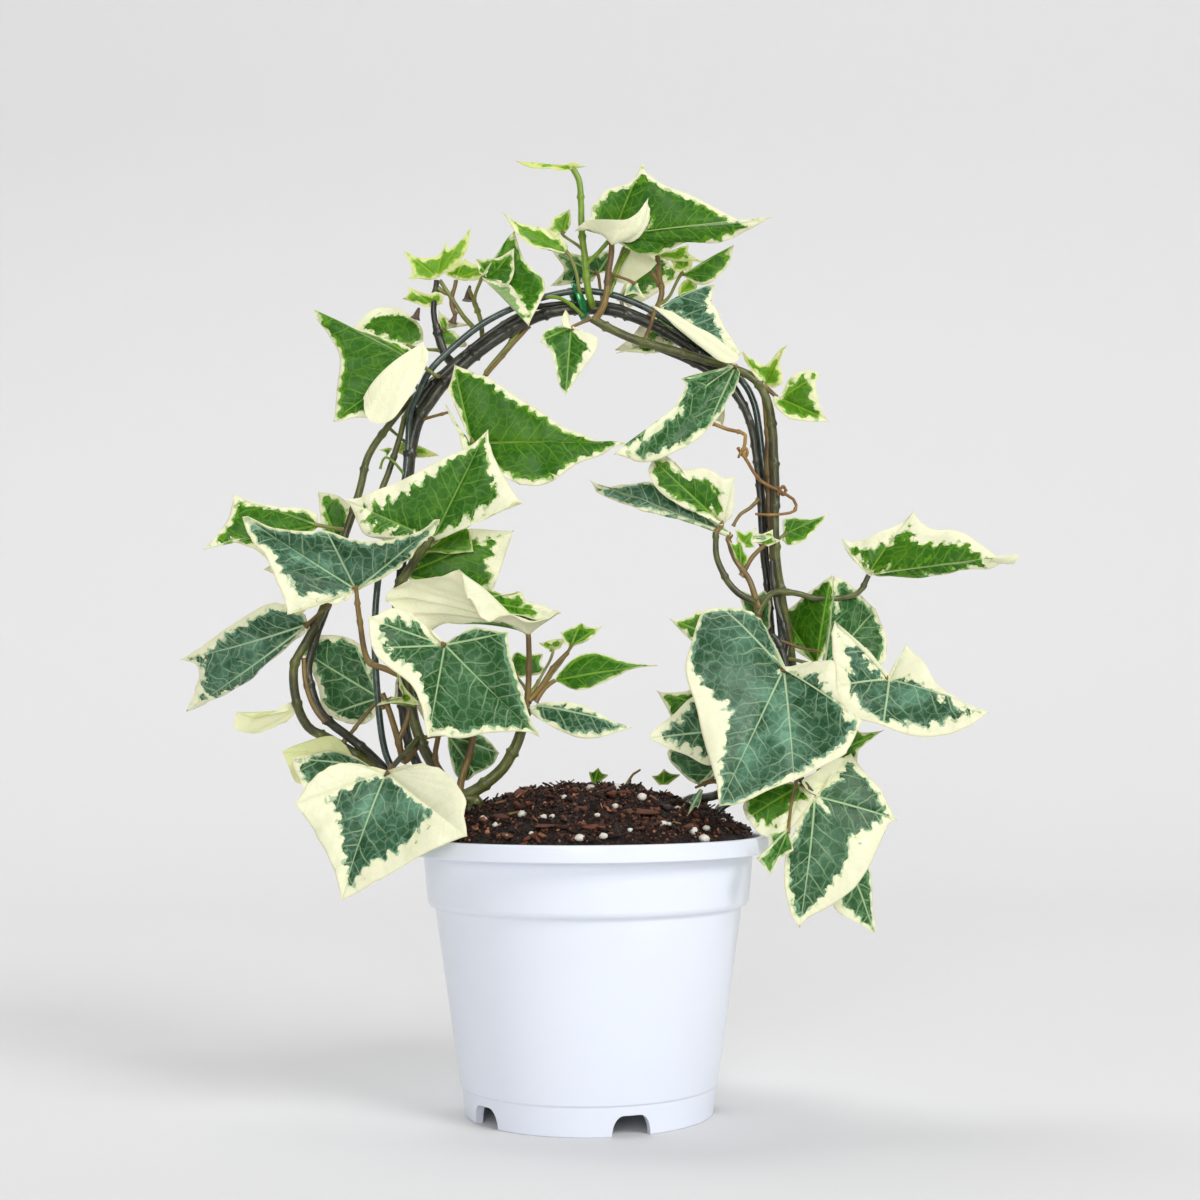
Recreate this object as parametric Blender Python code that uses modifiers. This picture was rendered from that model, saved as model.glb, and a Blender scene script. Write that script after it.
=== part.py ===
"""Potted wax ivy: variegated vines trained round a wire hoop, in a white plastic nursery pot.

Metres, +Z up. The origin is on the pot's axis, at the height of its foot, and -Y is the front.
Routes and leaves are lists of (x, z, y) in millimetres. x and z are read on the upright plane
through the pot's axis, as seen from EYE, and y is the depth: the point lies on the line of sight.
"""

import math
from collections import namedtuple

import bmesh
import bpy
from mathutils import Vector, noise

MM = 0.001
EYE = Vector((4.3, -605.4, 123.6)) * MM  # where the plane's readings are seen from

# Pot
POT_SEGMENTS = 32
RIM_R = 60.0 * MM
RIM_TOP = 90.5 * MM
RIM_LOW = 85.1 * MM
MOUTH_R = 57.3 * MM
NECK_TOP = 87.6 * MM  # inside, the wall slopes from the mouth in to the band
NECK_LOW = 85.9 * MM
BAND_TOP_R = 54.8 * MM
BAND_LOW_R = 53.3 * MM
BAND_LOW = 69.3 * MM
LEDGE_R = 50.8 * MM
LEDGE_LOW = 67.2 * MM
STEP_R = 42.4 * MM
STEP_Z = 9.6 * MM
FOOT_R = 40.9 * MM
FOOT_INNER_R = 38.3 * MM
WALL = 1.5 * MM
FLOOR_LOW = 5.6 * MM
NOTCHES = 5
NOTCH_FIRST_ANGLE = math.radians(-53)  # from the front, towards +X
NOTCH_WIDE = 12.6 * MM
NOTCH_NARROW = 5.4 * MM
NOTCH_HIGH = 6.5 * MM

# Soil
GAP = 0.35 * MM  # between any two pieces
SOIL_EDGE_Z = 88.2 * MM
SOIL_HEAP = 18.0 * MM
SOIL_RELIEF = 2.2 * MM
SOIL_RINGS = 7
BARK_SIZE = 7.0 * MM
SOCKET_DEEP = 26.0 * MM

# Hoop and tie
WIRE_R = 1.05 * MM
HOOP_FOOT_X = 44.0 * MM
TIE_R = 0.8 * MM

# Leaves
BLADE = 0.8 * MM
SMALL_LEAF = 17.0 * MM  # longer leaves get a finer net
LARGE_LEAF = 42.0 * MM  # and longer ones a finer net still
STEM_STEP = 14.0 * MM  # the length of one straight piece of a tube
PETIOLE_SIDES = 0  # Blender's bevel resolution, which makes a square section
HEEL = 0.34  # how far the base corners stand out, against the outer lobes
HEEL_BACK = 0.62  # how far they sit behind the joint, against the midrib
SINUS = 0.22
ARCH = 0.07
PETIOLE_R = 0.85 * MM

Leaf = namedtuple("Leaf", "joint lobes petiole sinuses curls arch heel",
                  defaults=((), (), {}, ARCH, True))
Vine = namedtuple("Vine", "foot stem radius branches leaves colour")


def seen(point):
    """The place of a reading (x, z, y), moved along its line of sight to depth y."""
    x, z, y = point
    on_plane = Vector((x, 0.0, z)) * MM
    return EYE + (on_plane - EYE) * ((y * MM - EYE.y) / -EYE.y)


HOOP_ROUTE = (
    (-52, 103, 0), (-60, 108, 0), (-67.5, 117, 0), (-70.8, 140, 0), (-71.5, 165, 0), (-69, 185, 0),
    (-64.5, 200, 0), (-61, 214, 0), (-60, 232, 0), (-57, 240, 0), (-53, 248, 0), (-45, 256, 0),
    (-35, 264, 0), (-23, 270, 0), (-10, 274, 0), (0, 275, 0), (10, 273.4, 0), (20, 269.3, 0),
    (30, 263.2, 0), (38, 256.5, 0), (50, 247, 0), (57, 236, 0), (60, 215, 0), (63, 195, 0),
    (65, 165, 0), (65, 148, 0), (62, 125, 0), (57, 111, 0), (51, 103, 0),
)

OUTER_VINE = Vine(
    foot=(-43, 13), radius=1.5, colour=(0.13, 0.12, 0.045),
    stem=((-58, 106, 12), (-68, 112, 10), (-75, 116, 8), (-85, 123, 6), (-94, 129, 4), (-98, 138, 2),
          (-98, 148, 2), (-92, 160, 2), (-86, 175, 2), (-82, 191, 2), (-77, 207, 2.5), (-74, 220, 3.5),
          (-68, 229, 4.5), (-61, 237, 5), (-54, 243, 5), (-45, 249, 4.5), (-35, 257, 4),
          (-22, 264, 3.5), (-8, 268.5, 3.5), (5, 269, 3.5), (17, 266, 4), (25, 262, 5)),
    branches=(
        (1.3, ((2, 268.5, 3), (2.2, 270.3, -1), (1.2, 274, -3.6), (0, 282, -3.8), (-1.2, 294, -4),
               (-1.5, 306, -4), (-2.4, 314, -4), (-4.2, 317.5, -4))),
        (1.2, ((-45, 249, 4.5), (-49, 254, 5.5), (-51.5, 262, 6), (-52, 270, 6), (-51, 279, 5))),
        (0.9, ((-50.5, 276, 5.5), (-46, 274, 5), (-44.5, 279, 4))),
        (0.9, ((-35, 257, 4), (-36, 265, 5), (-38, 271, 4), (-40, 276, 3))),
        (1.1, ((20, 265, 4.2), (24, 268.5, 5), (25.8, 274, 5), (24.8, 281, 4.5), (24.5, 287, 4))),
        (0.8, ((25.6, 274, 5), (23, 280, 5), (19.5, 283, 5))),
    ),
    leaves=(
        Leaf((-93, 161, 0), ((-112, 166, -6), (-137, 149.5, 16), (-134.5, 132.5, 19), (-113, 151, 17)),
             ((-87, 168, 2),), sinuses=(-0.1, 0.1, 0.24)),
        Leaf((-90, 195, 1), ((-120, 205.5, 0), (-130, 187, -5), (-112, 181, 0)), ((-81.5, 193, 2),)),
        Leaf((-84.5, 190, 7), ((-91, 206, 10), (-78.5, 201, 11)), ((-82, 187, 2),)),
        Leaf((-97, 137.5, 4), ((-108, 139.5, 3), (-118.5, 136, 8), (-111, 130, 10)), ((-97.5, 137, 2),)),
        Leaf((-72, 113, 0), ((-86, 124.5, 1), (-99.5, 117, -5), (-97, 106, -8), (-78, 101, -6)),
             ((-76, 114.5, 4), (-78, 117.5, 7))),
        Leaf((-70, 136, 6), ((-78, 156, 10), (-97, 153, 13), (-90, 131, 11), (-78, 127, 8)),
             ((-76, 129, 6), (-82, 121.5, 6.5)), heel=False),
        Leaf((-62, 224, 8), ((-66, 219, 9), (-52, 217, 6), (-54, 225, 7)), ((-68, 228.8, 4.5),)),
        Leaf((-58, 251, -8), ((-70, 262.5, -8), (-93, 269.5, -17), (-86, 254, -13), (-85.5, 230, -13),
                              (-72, 240, -21), (-62, 248, -21)),
             ((-54.5, 248.5, -4.5), (-50.5, 245.5, -2.5), (-50, 245.7, 4.8)),
             sinuses=(0.07, 0.16, 0.16, 0.05, 0.05),
             curls={4: (-69, 222, -12), 5: (-52, 232, -10)}, heel=False),
        Leaf((-60, 256, 9), ((-56, 268, 12), (-72, 271, 14), (-80, 258, 12)),
             ((-54, 255, 7), (-49.3, 254.6, 5.6))),
        Leaf((-51, 279, 5), ((-40, 296.5, 3), (-48, 293, 5), (-62.5, 289, 5), (-61, 279, 3)),
             (), sinuses=(0.35, 0.3, 0.3)),
        Leaf((-44.5, 279, 4), ((-34, 283, 1), (-41, 286.5, 3), (-49, 282.5, 0)), (), sinuses=(0.3, 0.3)),
        Leaf((-51.5, 270, 6), ((-48, 274, 4), (-61, 276.5, 4), (-62.5, 271, 5)), ()),
        Leaf((-48, 262, 7), ((-40, 268, 7), (-52, 268, 8), (-50, 255, 7), (-41, 254, 7)),
             ((-51, 262, 6),)),
        Leaf((-35.5, 280, -3), ((-25, 276.5, -10), (-19.5, 263, -15), (-14, 279, -7), (-24.5, 296.5, -5)),
             ((-38, 273, 1), (-37, 268, 4.8)), sinuses=(0.15, 0.12, 0.2), heel=False),
        Leaf((-6, 288, -5), ((-17, 291, -9), (-28, 302.5, -10), (-16, 299.5, -3)),
             ((-3.6, 282, -5), (-2.4, 276.5, -4.5), (-1.5, 271, -1), (-1.5, 269, 3))),
        Leaf((-7.5, 294, 1), ((-4.8, 297, 2), (-6, 303.5, 2), (-12, 297.5, 1)), ((-1.4, 290, -4),)),
        Leaf((-4, 317.5, -4), ((0.5, 320.5, -4), (-15, 319.5, -6), (-24, 320.5, -8), (-13, 317.6, -8)), ()),
        Leaf((-39, 222.5, -4), ((-47, 236, -6), (-23, 208.5, -11), (14, 223, -11), (-29, 243.5, -5),
                                (-45, 250, -3)),
             ((-37, 236, 0), (-34, 247, 2), (-26, 257, 2.5), (-22, 263, 3.5)),
             sinuses=(-0.1, 0.03, 0.08, 0.02), heel=False),
        Leaf((4, 281, 10), ((-12, 277, 8), (-12.5, 290, 8), (10, 290.5, 12)),
             ((5, 275, 8), (6, 269, 4),)),
        Leaf((33, 256, 9), ((33, 262.5, 10), (20, 266.5, 9), (18, 259, 9), (27, 255.5, 9)),
             ((28, 260, 7), (24.8, 262, 5)), heel=False),
        Leaf((24.5, 287, 4), ((43, 284.5, 1), (36, 291.5, 2), (28, 289.5, 4)), (), sinuses=(0.2, 0.3)),
        Leaf((31, 280.5, 3), ((41, 277, 0), (50.5, 290, -2), (34, 286, 2)),
             ((28.5, 273, 4), (24.5, 269.5, 5)), sinuses=(0.0, 0.1)),
        Leaf((-62, 247, 12), ((-60, 262, 22), (-82, 264, 32), (-84, 240, 26)), ((-57, 241.5, 5),)),
        Leaf((-88, 184, 12), ((-78, 178, 20), (-100, 160, 34), (-110, 180, 26)), ((-83.3, 186, 2),)),
        Leaf((12, 272, 14), ((18, 288, 20), (34, 300, 30), (36, 282, 22)),
             ((12.5, 269, 8), (12.5, 267.2, 3.7))),
    ))

INNER_VINE = Vine(
    foot=(-39, -2), radius=1.7, colour=(0.035, 0.04, 0.02),
    stem=((-45, 103, -3), (-50, 111, -4), (-56, 124, -6), (-60, 142, -7), (-63, 158, -7),
          (-64.5, 170, -7), (-60, 180, -7.5), (-52.5, 191, -8)),
    branches=(
        (1.1, ((-56, 124, -6), (-60, 119, -12), (-66, 113, -25))),
        (1.0, ((-58, 133, -6), (-66, 136, -7), (-69, 133, -9))),
        (1.1, ((-60, 143, -7), (-68, 146, -8), (-74, 149, -9), (-76, 158, -10), (-77.5, 168, -11))),
    ),
    leaves=(
        Leaf((-78, 173, -12), ((-101, 165, -25), (-116, 198, -20), (-88, 193, -16), (-50, 196, -25)),
             ((-77.5, 168, -11),), sinuses=(0.1, 0.14, 0.26)),
        Leaf((-48, 154, -23), ((-27, 158, -24), (-16, 123, -34), (-53.5, 123.5, -34), (-72, 151, -32),
                               (-74, 163, -30), (-58, 162, -25)),
             ((-55, 150, -15), (-60.5, 145, -8)), sinuses=(0.06, 0.2, 0.08, 0.0, 0.0), heel=False),
        Leaf((-52, 190, -9), ((-22, 202, -18), (-33.5, 227.5, -14), (-83, 204, -15), (-77, 193, -14)),
             (), sinuses=(0.12, 0.18, 0.0)),
        Leaf((-62, 178, 2), ((-31, 174.5, 2), (-24, 193, 2), (-45, 192, 4)), ((-62.5, 177, -5),),
             sinuses=(0.1, 0.1)),
        Leaf((-67.5, 111.5, -28), ((-80, 115, -30), (-98, 101, -36), (-82.5, 69, -42), (-41, 91, -52),
                                   (-41, 103, -50), (-54, 114.5, -38)),
             ((-66, 113, -25),), sinuses=(-0.02, 0.06, 0.0, 0.0, -0.04), heel=False),
        Leaf((-62, 137, -9), ((-64, 146, -10), (-57, 134.5, -16), (-71, 134, -12)), ((-60, 139, -7),)),
        Leaf((-47, 124, -8), ((-37, 111, -6), (-29.5, 118, -4), (-36, 125, -5)), ((-55, 123, -6),)),
        Leaf((-58, 150, 4), ((-48, 146, 12), (-50, 120, 24), (-66, 134, 18)), ((-60.5, 150, -6),)),
        Leaf((-52, 192, 4), ((-42, 190, 12), (-40, 212, 24), (-64, 206, 18)), ((-53, 190, -7),)),
    ))

CENTRE_VINE = Vine(
    foot=(-37, -14), radius=2.3, colour=(0.09, 0.14, 0.04),
    stem=((-42.5, 103, -14), (-36, 106.5, -14), (-28.5, 113, -14), (-23, 123, -14), (-20.5, 133, -14)),
    branches=(
        (1.1, ((-20.5, 132, -14), (-19.7, 145, -14), (-20, 158, -16))),
        (0.9, ((-20, 137, -14), (-15, 141, -12), (-11, 142, -11))),
    ),
    leaves=(
        Leaf((-20, 158.5, -16), ((-9, 165, -22), (-17, 161, -25), (-34, 161.5, -25), (-43, 180, -27),
                                 (-67, 173, -19), (-60, 167, -12), (-40, 173, -8), (-22, 172, -9),
                                 (-10, 165, -18)),
             (), sinuses=(0.0, 0.0, 0.14, 0.05, 0.0, 0.0, 0.05, 0.0),
             arch=-0.1, heel=False),
        Leaf((-20, 134, -14), ((-15, 127.5, -18), (-4, 123.5, -22), (15, 126.5, -22), (-4, 135.5, -17)),
             (), sinuses=(0.0, 0.12, 0.1), heel=False),
        Leaf((-11, 142, -11), ((-3, 138.5, -14), (23.5, 147.5, -16), (3, 151.5, -10)),
             (), sinuses=(0.08, 0.08)),
        Leaf((-5, 153.5, -10), ((3, 157, -12), (5, 161, -11), (-2, 161.5, -9), (-9, 156.5, -9)),
             ((-9, 148, -10), (-15, 140.5, -12)), heel=False),
        Leaf((-14, 151, -6), ((-13.5, 154, -6), (-8, 156.5, -7), (-16.5, 156, -6)), ((-16, 144, -10),
                                                                               (-19, 138, -13))),
        Leaf((-24, 144, -6), ((-14, 145, -5), (-13, 151.5, -4), (-25, 152, -4)), ((-20.5, 139, -13),)),
    ))

RIGHT_VINE = Vine(
    foot=(45, 11), radius=1.5, colour=(0.14, 0.125, 0.045),
    stem=((52, 105, 10), (58, 117, 8), (63, 130, 5.5), (68.5, 142, 3), (68, 155, -1), (65.5, 170, -4),
          (63, 190, -4.5), (63.5, 205, -4.5), (63, 220, -4.5), (62, 235, -4.5), (57.5, 244, -4.8),
          (50, 248, -5), (42, 250.5, -5), (30, 254, -5), (18, 257.5, -5), (8, 262, -5), (2, 265.5, -5.5)),
    branches=(
        (1.2, ((3, 265, -5.5), (6, 270, -7), (7.5, 279, -7.5), (8.6, 287, -7.5), (9, 293.5, -7))),
        (0.9, ((57.5, 244, -4.8), (61, 241.5, -5), (65, 238, -5))),
    ),
    leaves=(
        Leaf((9, 294, -7), ((18, 287, -6), (34, 290, -8), (64, 300.5, -16), (19.5, 320, -11),
                            (2, 305, -10), (-3, 297.5, -11), (13, 301, -17), (22, 307.5, -16)),
             (), sinuses=(0.04, 0.12, 0.2, 0.02, 0.0, 0.0, 0.0),
             curls={6: (7, 285, -14), 7: (19, 290, -14)}, heel=False),
        Leaf((13, 290, 1), ((10.5, 278.5, 3), (18, 277, 3), (24.3, 284, 1)),
             ((9.5, 281, -3), (7.6, 277, -7))),
        Leaf((16, 278, -3), ((13, 273, -2.5), (21, 271.5, -3), (18, 277.5, -3)), ((8, 281, -7),)),
        Leaf((24, 269, -7), ((49, 250.5, -13), (54, 253, -14), (46, 268.5, -8), (43, 276.5, -3),
                             (32, 274.5, -4)),
             ((22, 263, -6.5), (20, 257.3, -5)), sinuses=(0.0, 0.06, 0.12, 0.05), heel=False),
        Leaf((-4, 263, -7), ((-15.5, 257.5, -9), (-7, 239, -10), (4, 258, -10)), ((1.5, 265.5, -5.5),),
             sinuses=(0.12, 0.1)),
        Leaf((23, 255.5, -2), ((15, 257, -1), (9.5, 253.5, -2), (20, 252.8, -3)), ((25, 255, -4.5),)),
        Leaf((60.5, 241, -5), ((66.5, 243, -9), (68.5, 256, -10), (61.5, 249, -6), (53, 254, -8)), (),
             sinuses=(0.25, 0.1, 0.1)),
        Leaf((65, 238, -5), ((67.5, 231.5, -10), (82, 230, -9), (79, 246.5, -9), (69, 245, -6)), (),
             sinuses=(0.0, 0.22, 0.05)),
        Leaf((51, 248, -7), ((32.5, 245, -12), (33, 238, -15), (11, 219, -20), (25, 216.5, -21),
                             (40, 227, -17), (51.5, 240, -13)),
             ((49.8, 248.1, -5),), sinuses=(0.0, 0.05, 0.0, 0.0, 0.0), heel=False),
        Leaf((66.5, 191, -2), ((73, 188.5, 0), (82, 198.5, 2), (68, 199, 3)), ((64, 189, -4),)),
        Leaf((44, 242, 8), ((46, 228, 16), (26, 222, 26), (34, 240, 20)), ((46, 247, 2), (46, 249.3, -5))),
    ))

RIGHT_LEG_VINE = Vine(
    foot=(39, -1), radius=1.4, colour=(0.10, 0.085, 0.035),
    stem=((47, 104, -3), (54, 113, -5), (59, 127, -6), (60, 143, -7), (58.5, 157, -8), (57, 168, -9)),
    branches=(
        (1.1, ((57, 168, -9), (49, 173, -9), (44, 183, -9), (43.5, 192, -9))),
        (1.1, ((58, 166, -9), (55, 175, -8.5), (50, 183, -8), (47.5, 190, -8))),
        (0.9, ((52, 177, -8.3), (56, 184, -8), (60, 187.5, -8))),
        (1.0, ((57.5, 164, -9), (62, 171, -9), (70, 171, -8), (80, 169, -6), (91, 171, -4),
               (95, 177, -4))),
    ),
    leaves=(
        Leaf((45, 195, -10), ((50, 212, -15), (38, 213.5, -14), (22, 217, -14), (29, 202.5, -13)),
             ((43.5, 192, -9),), sinuses=(0.0, 0.06, 0.1)),
        Leaf((49, 191, -7.5), ((22, 209.5, -6), (1.5, 210.5, -8), (20, 198, -9)), ((47.5, 190, -8),),
             sinuses=(0.02, 0.02)),
        Leaf((60, 187.5, -8), ((66, 189, -9), (63, 193, -9), (54, 192.5, -8)), ()),
        Leaf((52, 180, -8), ((55, 184, -9), (51.5, 193.5, -9), (48, 189, -10)), ()),
        Leaf((95, 177.5, -4), ((115, 175, -8), (146.5, 184, -24), (110.5, 199.5, -6), (87, 190, -1)), (),
             sinuses=(0.0, 0.16, 0.18)),
        Leaf((74, 148, -3), ((100, 148, 0), (97.5, 166, 5), (82.5, 177.5, -4), (68.5, 165, 7)),
             ((68, 149, -6), (60, 149, -7.5)), sinuses=(0.08, 0.14, 0.16)),
    ))

LOW_RIGHT_VINE = Vine(
    foot=(33, -12), radius=1.6, colour=(0.05, 0.055, 0.02),
    stem=((42, 103, -14), (50, 108, -16), (60, 117, -17), (67, 130, -16), (67, 143, -15),
          (65, 153, -14), (62, 157, -14)),
    branches=(
        (1.2, ((67, 143, -15), (78, 146, -13), (90, 144, -13), (101, 142.5, -14))),
        (1.1, ((60, 117, -17), (68, 112, -19), (76, 103, -23))),
        (1.0, ((62, 120, -17), (72, 119, -13), (82, 117, -11))),
        (0.9, ((52, 109, -16), (48, 117, -16), (46, 127, -16))),
    ),
    leaves=(
        Leaf((66, 145.5, -19), ((59, 160.5, -22), (45, 166.5, -26), (34.5, 153, -29), (38, 125, -36),
                                (47, 100, -42), (70, 108, -40), (92, 128, -36), (79, 148.5, -26)),
             ((67, 143, -15),), sinuses=(0.0, -0.1, -0.02, 0.0, 0.0, 0.0, 0.04), heel=False),
        Leaf((101, 142, -14), ((83.5, 161.5, -20), (83.5, 140, -24), (99, 125.5, -28), (134.5, 131, -28),
                               (107.5, 154, -10)),
             (), sinuses=(0.05, 0.0, 0.02, 0.12), heel=False),
        Leaf((46, 155, -16), ((36, 165, -14), (27.5, 162.5, -13), (34, 155, -15)), ((62.8, 155.8, -14),)),
        Leaf((47, 130, -17), ((35, 139, -15), (23, 138.5, -15), (30, 129, -17)), ((46, 127, -16),)),
        Leaf((46, 125, -18), ((36, 136, -20), (20.5, 123, -24), (41, 114.5, -24)), ((46, 127, -16),)),
        Leaf((46, 116.5, -17), ((38, 119, -18), (27, 116.5, -18), (37, 106.5, -16)), ((48, 117, -16),)),
        Leaf((68, 108, -20), ((53, 102, -25), (52.5, 94, -27), (64.5, 87.5, -28), (75.5, 103, -24)),
             ((68, 112, -19),), sinuses=(0.0, 0.02, 0.06), heel=False),
        Leaf((76, 103, -23), ((67, 92, -28), (65, 75, -31), (70.5, 60, -30), (94, 77, -26),
                              (103.5, 95.5, -20), (89, 118, -15)),
             (), sinuses=(0.03, 0.03, 0.02, 0.0, 0.06), heel=False),
        Leaf((83, 90, -12), ((79, 66, -15), (94, 58, -14), (94, 78, -12)),
             ((80, 100, -12), (77, 112, -12), (73.5, 118.8, -12.6))),
        Leaf((67, 92, -36), ((56, 83, -40), (61, 76.5, -40), (67, 84, -39)),
             ((68, 100, -30), (70, 110, -20.5))),
        Leaf((82, 117, -11), ((91, 113, -11), (100.5, 125.5, -11), (90, 129, -11)), ()),
        Leaf((74, 138, 4), ((66, 124, 12), (82, 110, 24), (92, 130, 16)), ((70, 140, -8), (67, 141, -15))),
    ))

TENDRIL_ROUTE = (
    (43, 229, -10), (48, 227, -10), (54, 225, -9), (53, 219, -8.5), (55, 215, -8), (59, 209.5, -7.2),
    (65, 206, -7), (70, 203, -6), (70.5, 199, -5.9), (64, 197.8, -6.75), (57, 198, -7.2),
)


def clear_scene():
    for obj in list(bpy.data.objects):
        bpy.data.objects.remove(obj)


def new_collection(name):
    collection = bpy.data.collections.new(name)
    bpy.context.scene.collection.children.link(collection)
    return collection


def material(name, colour, roughness, metallic=0.0):
    made = bpy.data.materials.new(name)
    made.use_nodes = True
    shader = made.node_tree.nodes["Principled BSDF"]
    shader.inputs["Base Color"].default_value = (*colour, 1)
    shader.inputs["Roughness"].default_value = roughness
    shader.inputs["Metallic"].default_value = metallic
    return made


def mesh_object(bm, name, collection, recalculate=False):
    """The bmesh as a new object, and the bmesh freed."""
    if recalculate:
        bmesh.ops.recalc_face_normals(bm, faces=bm.faces)
    mesh = bpy.data.meshes.new(name)
    bm.to_mesh(mesh)
    bm.free()
    obj = bpy.data.objects.new(name, mesh)
    collection.objects.link(obj)
    return obj


def baked(obj, weld=1e-6):
    """The object with its modifiers or curve made one plain welded mesh."""
    graph = bpy.context.evaluated_depsgraph_get()
    mesh = bpy.data.meshes.new_from_object(obj.evaluated_get(graph))
    bm = bmesh.new()
    bm.from_mesh(mesh)
    bmesh.ops.remove_doubles(bm, verts=bm.verts, dist=weld)
    bm.to_mesh(mesh)
    bm.free()
    made = bpy.data.objects.new(obj.name, mesh)
    made.matrix_world = obj.matrix_world
    for collection in obj.users_collection:
        collection.objects.link(made)
    name = obj.name
    bpy.data.objects.remove(obj)
    made.name = name
    return made


def finish(obj, made_material, sharp=math.radians(35)):
    obj.data.materials.clear()
    obj.data.materials.append(made_material)
    obj.data.shade_smooth()
    obj.data.set_sharp_from_angle(angle=sharp)


def smooth_route(points, spacing):
    """Points along a Catmull-Rom curve through the given ones, about as far apart as spacing."""
    ends = [points[0] * 2 - points[1], *points, points[-1] * 2 - points[-2]]
    route = []
    for a, b, c, d in zip(ends, ends[1:], ends[2:], ends[3:]):
        steps = max(1, round((c - b).length / spacing))
        for step in range(steps):
            t = step / steps
            route.append(0.5 * (2 * b + (c - a) * t + (2 * a - 5 * b + 4 * c - d) * t ** 2
                                + (3 * b - a - 3 * c + d) * t ** 3))
    return [*route, points[-1]]


def tube(name, points, radius, collection, end_radius=None, spacing=STEM_STEP, sides=1):
    """A capped tube along a smooth route, tapering to end_radius, as a welded mesh."""
    route = smooth_route(points, spacing)
    curve = bpy.data.curves.new(name, "CURVE")
    curve.dimensions = "3D"
    curve.bevel_depth = radius
    curve.bevel_resolution = sides
    curve.use_fill_caps = True
    spline = curve.splines.new("POLY")
    spline.points.add(len(route) - 1)
    taper = (end_radius or radius) / radius - 1
    for i, place in enumerate(route):
        spline.points[i].co = (*place, 1)
        spline.points[i].radius = 1 + taper * i / (len(route) - 1)
    obj = bpy.data.objects.new(name, curve)
    collection.objects.link(obj)
    return baked(obj, weld=1e-5)


def pot_inner_radius(z):
    """The inner wall's radius at a height, for the pot's cavity and the soil that fills it."""
    if z > NECK_LOW:
        return MOUTH_R
    if z > BAND_LOW:
        share = (z - BAND_LOW) / (RIM_LOW - BAND_LOW)
        return BAND_LOW_R + (BAND_TOP_R - BAND_LOW_R) * share - WALL
    share = (z - STEP_Z) / (LEDGE_LOW - STEP_Z)
    return STEP_R + (LEDGE_R - STEP_R) * share - WALL


def make_pot(parts, cutters):
    """A turned shell with a collar rim, a band over a ledge, a tapered body and a notched foot."""
    floor_top = FLOOR_LOW + WALL
    inner = [(0, floor_top), (pot_inner_radius(floor_top), floor_top)]
    inner += [(pot_inner_radius(z), z) for z in (LEDGE_LOW - WALL, BAND_LOW + WALL, NECK_LOW)]
    inner += [(MOUTH_R, NECK_TOP), (MOUTH_R, RIM_TOP - 0.7 * MM), (MOUTH_R + 0.7 * MM, RIM_TOP)]
    outer = [(RIM_R - 0.8 * MM, RIM_TOP), (RIM_R, RIM_TOP - 0.8 * MM), (RIM_R, RIM_LOW),
             (BAND_TOP_R, RIM_LOW), (BAND_LOW_R, BAND_LOW),
             (BAND_LOW_R - 0.6 * MM, BAND_LOW - 1.2 * MM), (LEDGE_R, LEDGE_LOW),
             (STEP_R + 0.4 * MM, STEP_Z + 0.4 * MM), (STEP_R - 0.5 * MM, STEP_Z - 0.4 * MM),
             (FOOT_R, 0), (FOOT_INNER_R, 0), (FOOT_INNER_R, FLOOR_LOW), (0, FLOOR_LOW)]
    profile = inner + outer
    mesh = bpy.data.meshes.new("pot")
    mesh.from_pydata([(r, 0, z) for r, z in profile], [(i, i + 1) for i in range(len(profile) - 1)], [])
    pot = bpy.data.objects.new("pot", mesh)
    parts.objects.link(pot)
    turn = pot.modifiers.new("Turned", "SCREW")
    turn.steps = turn.render_steps = POT_SEGMENTS
    turn.use_merge_vertices = True
    turn.merge_threshold = 1e-5
    turn.use_normal_calculate = True
    cut = pot.modifiers.new("Foot notches", "BOOLEAN")
    cut.operand_type = "COLLECTION"
    cut.collection = cutters
    cut.solver = "EXACT"
    for index in range(NOTCHES):
        angle = NOTCH_FIRST_ANGLE + math.tau * index / NOTCHES
        bm = bmesh.new()
        bmesh.ops.create_cube(bm, size=1)
        for vertex in bm.verts:
            top = vertex.co.z > 0
            vertex.co.x *= NOTCH_NARROW if top else NOTCH_WIDE
            vertex.co.y *= 12 * MM
            vertex.co.z = NOTCH_HIGH if top else -NOTCH_HIGH
        cutter = mesh_object(bm, f"foot_notch_{index}", cutters)
        cutter.rotation_euler.z = angle
        cutter.location = (math.sin(angle) * FOOT_R, -math.cos(angle) * FOOT_R, -0.2 * MM)
        as_guide(cutter)
    finish(pot, material("White pot plastic", (0.79, 0.83, 0.88), 0.3))


def as_guide(obj):
    obj.hide_render = True
    obj.display_type = "WIRE"


def soil_height(x, y):
    """The heap's surface: a low dome with bark lumps and fine grit, flat where it meets the pot."""
    edge = MOUTH_R - GAP
    inside = max(0.0, 1 - (x * x + y * y) / edge ** 2)
    lumps = noise.noise(Vector((x, y, 3 * MM)) / BARK_SIZE)
    grit = noise.noise(Vector((x, y, 9 * MM)) / (0.4 * BARK_SIZE))
    relief = SOIL_RELIEF * (lumps + 0.5 * grit) * min(1.0, 4 * inside)
    return SOIL_EDGE_Z + SOIL_HEAP * inside ** 0.8 + relief


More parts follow.
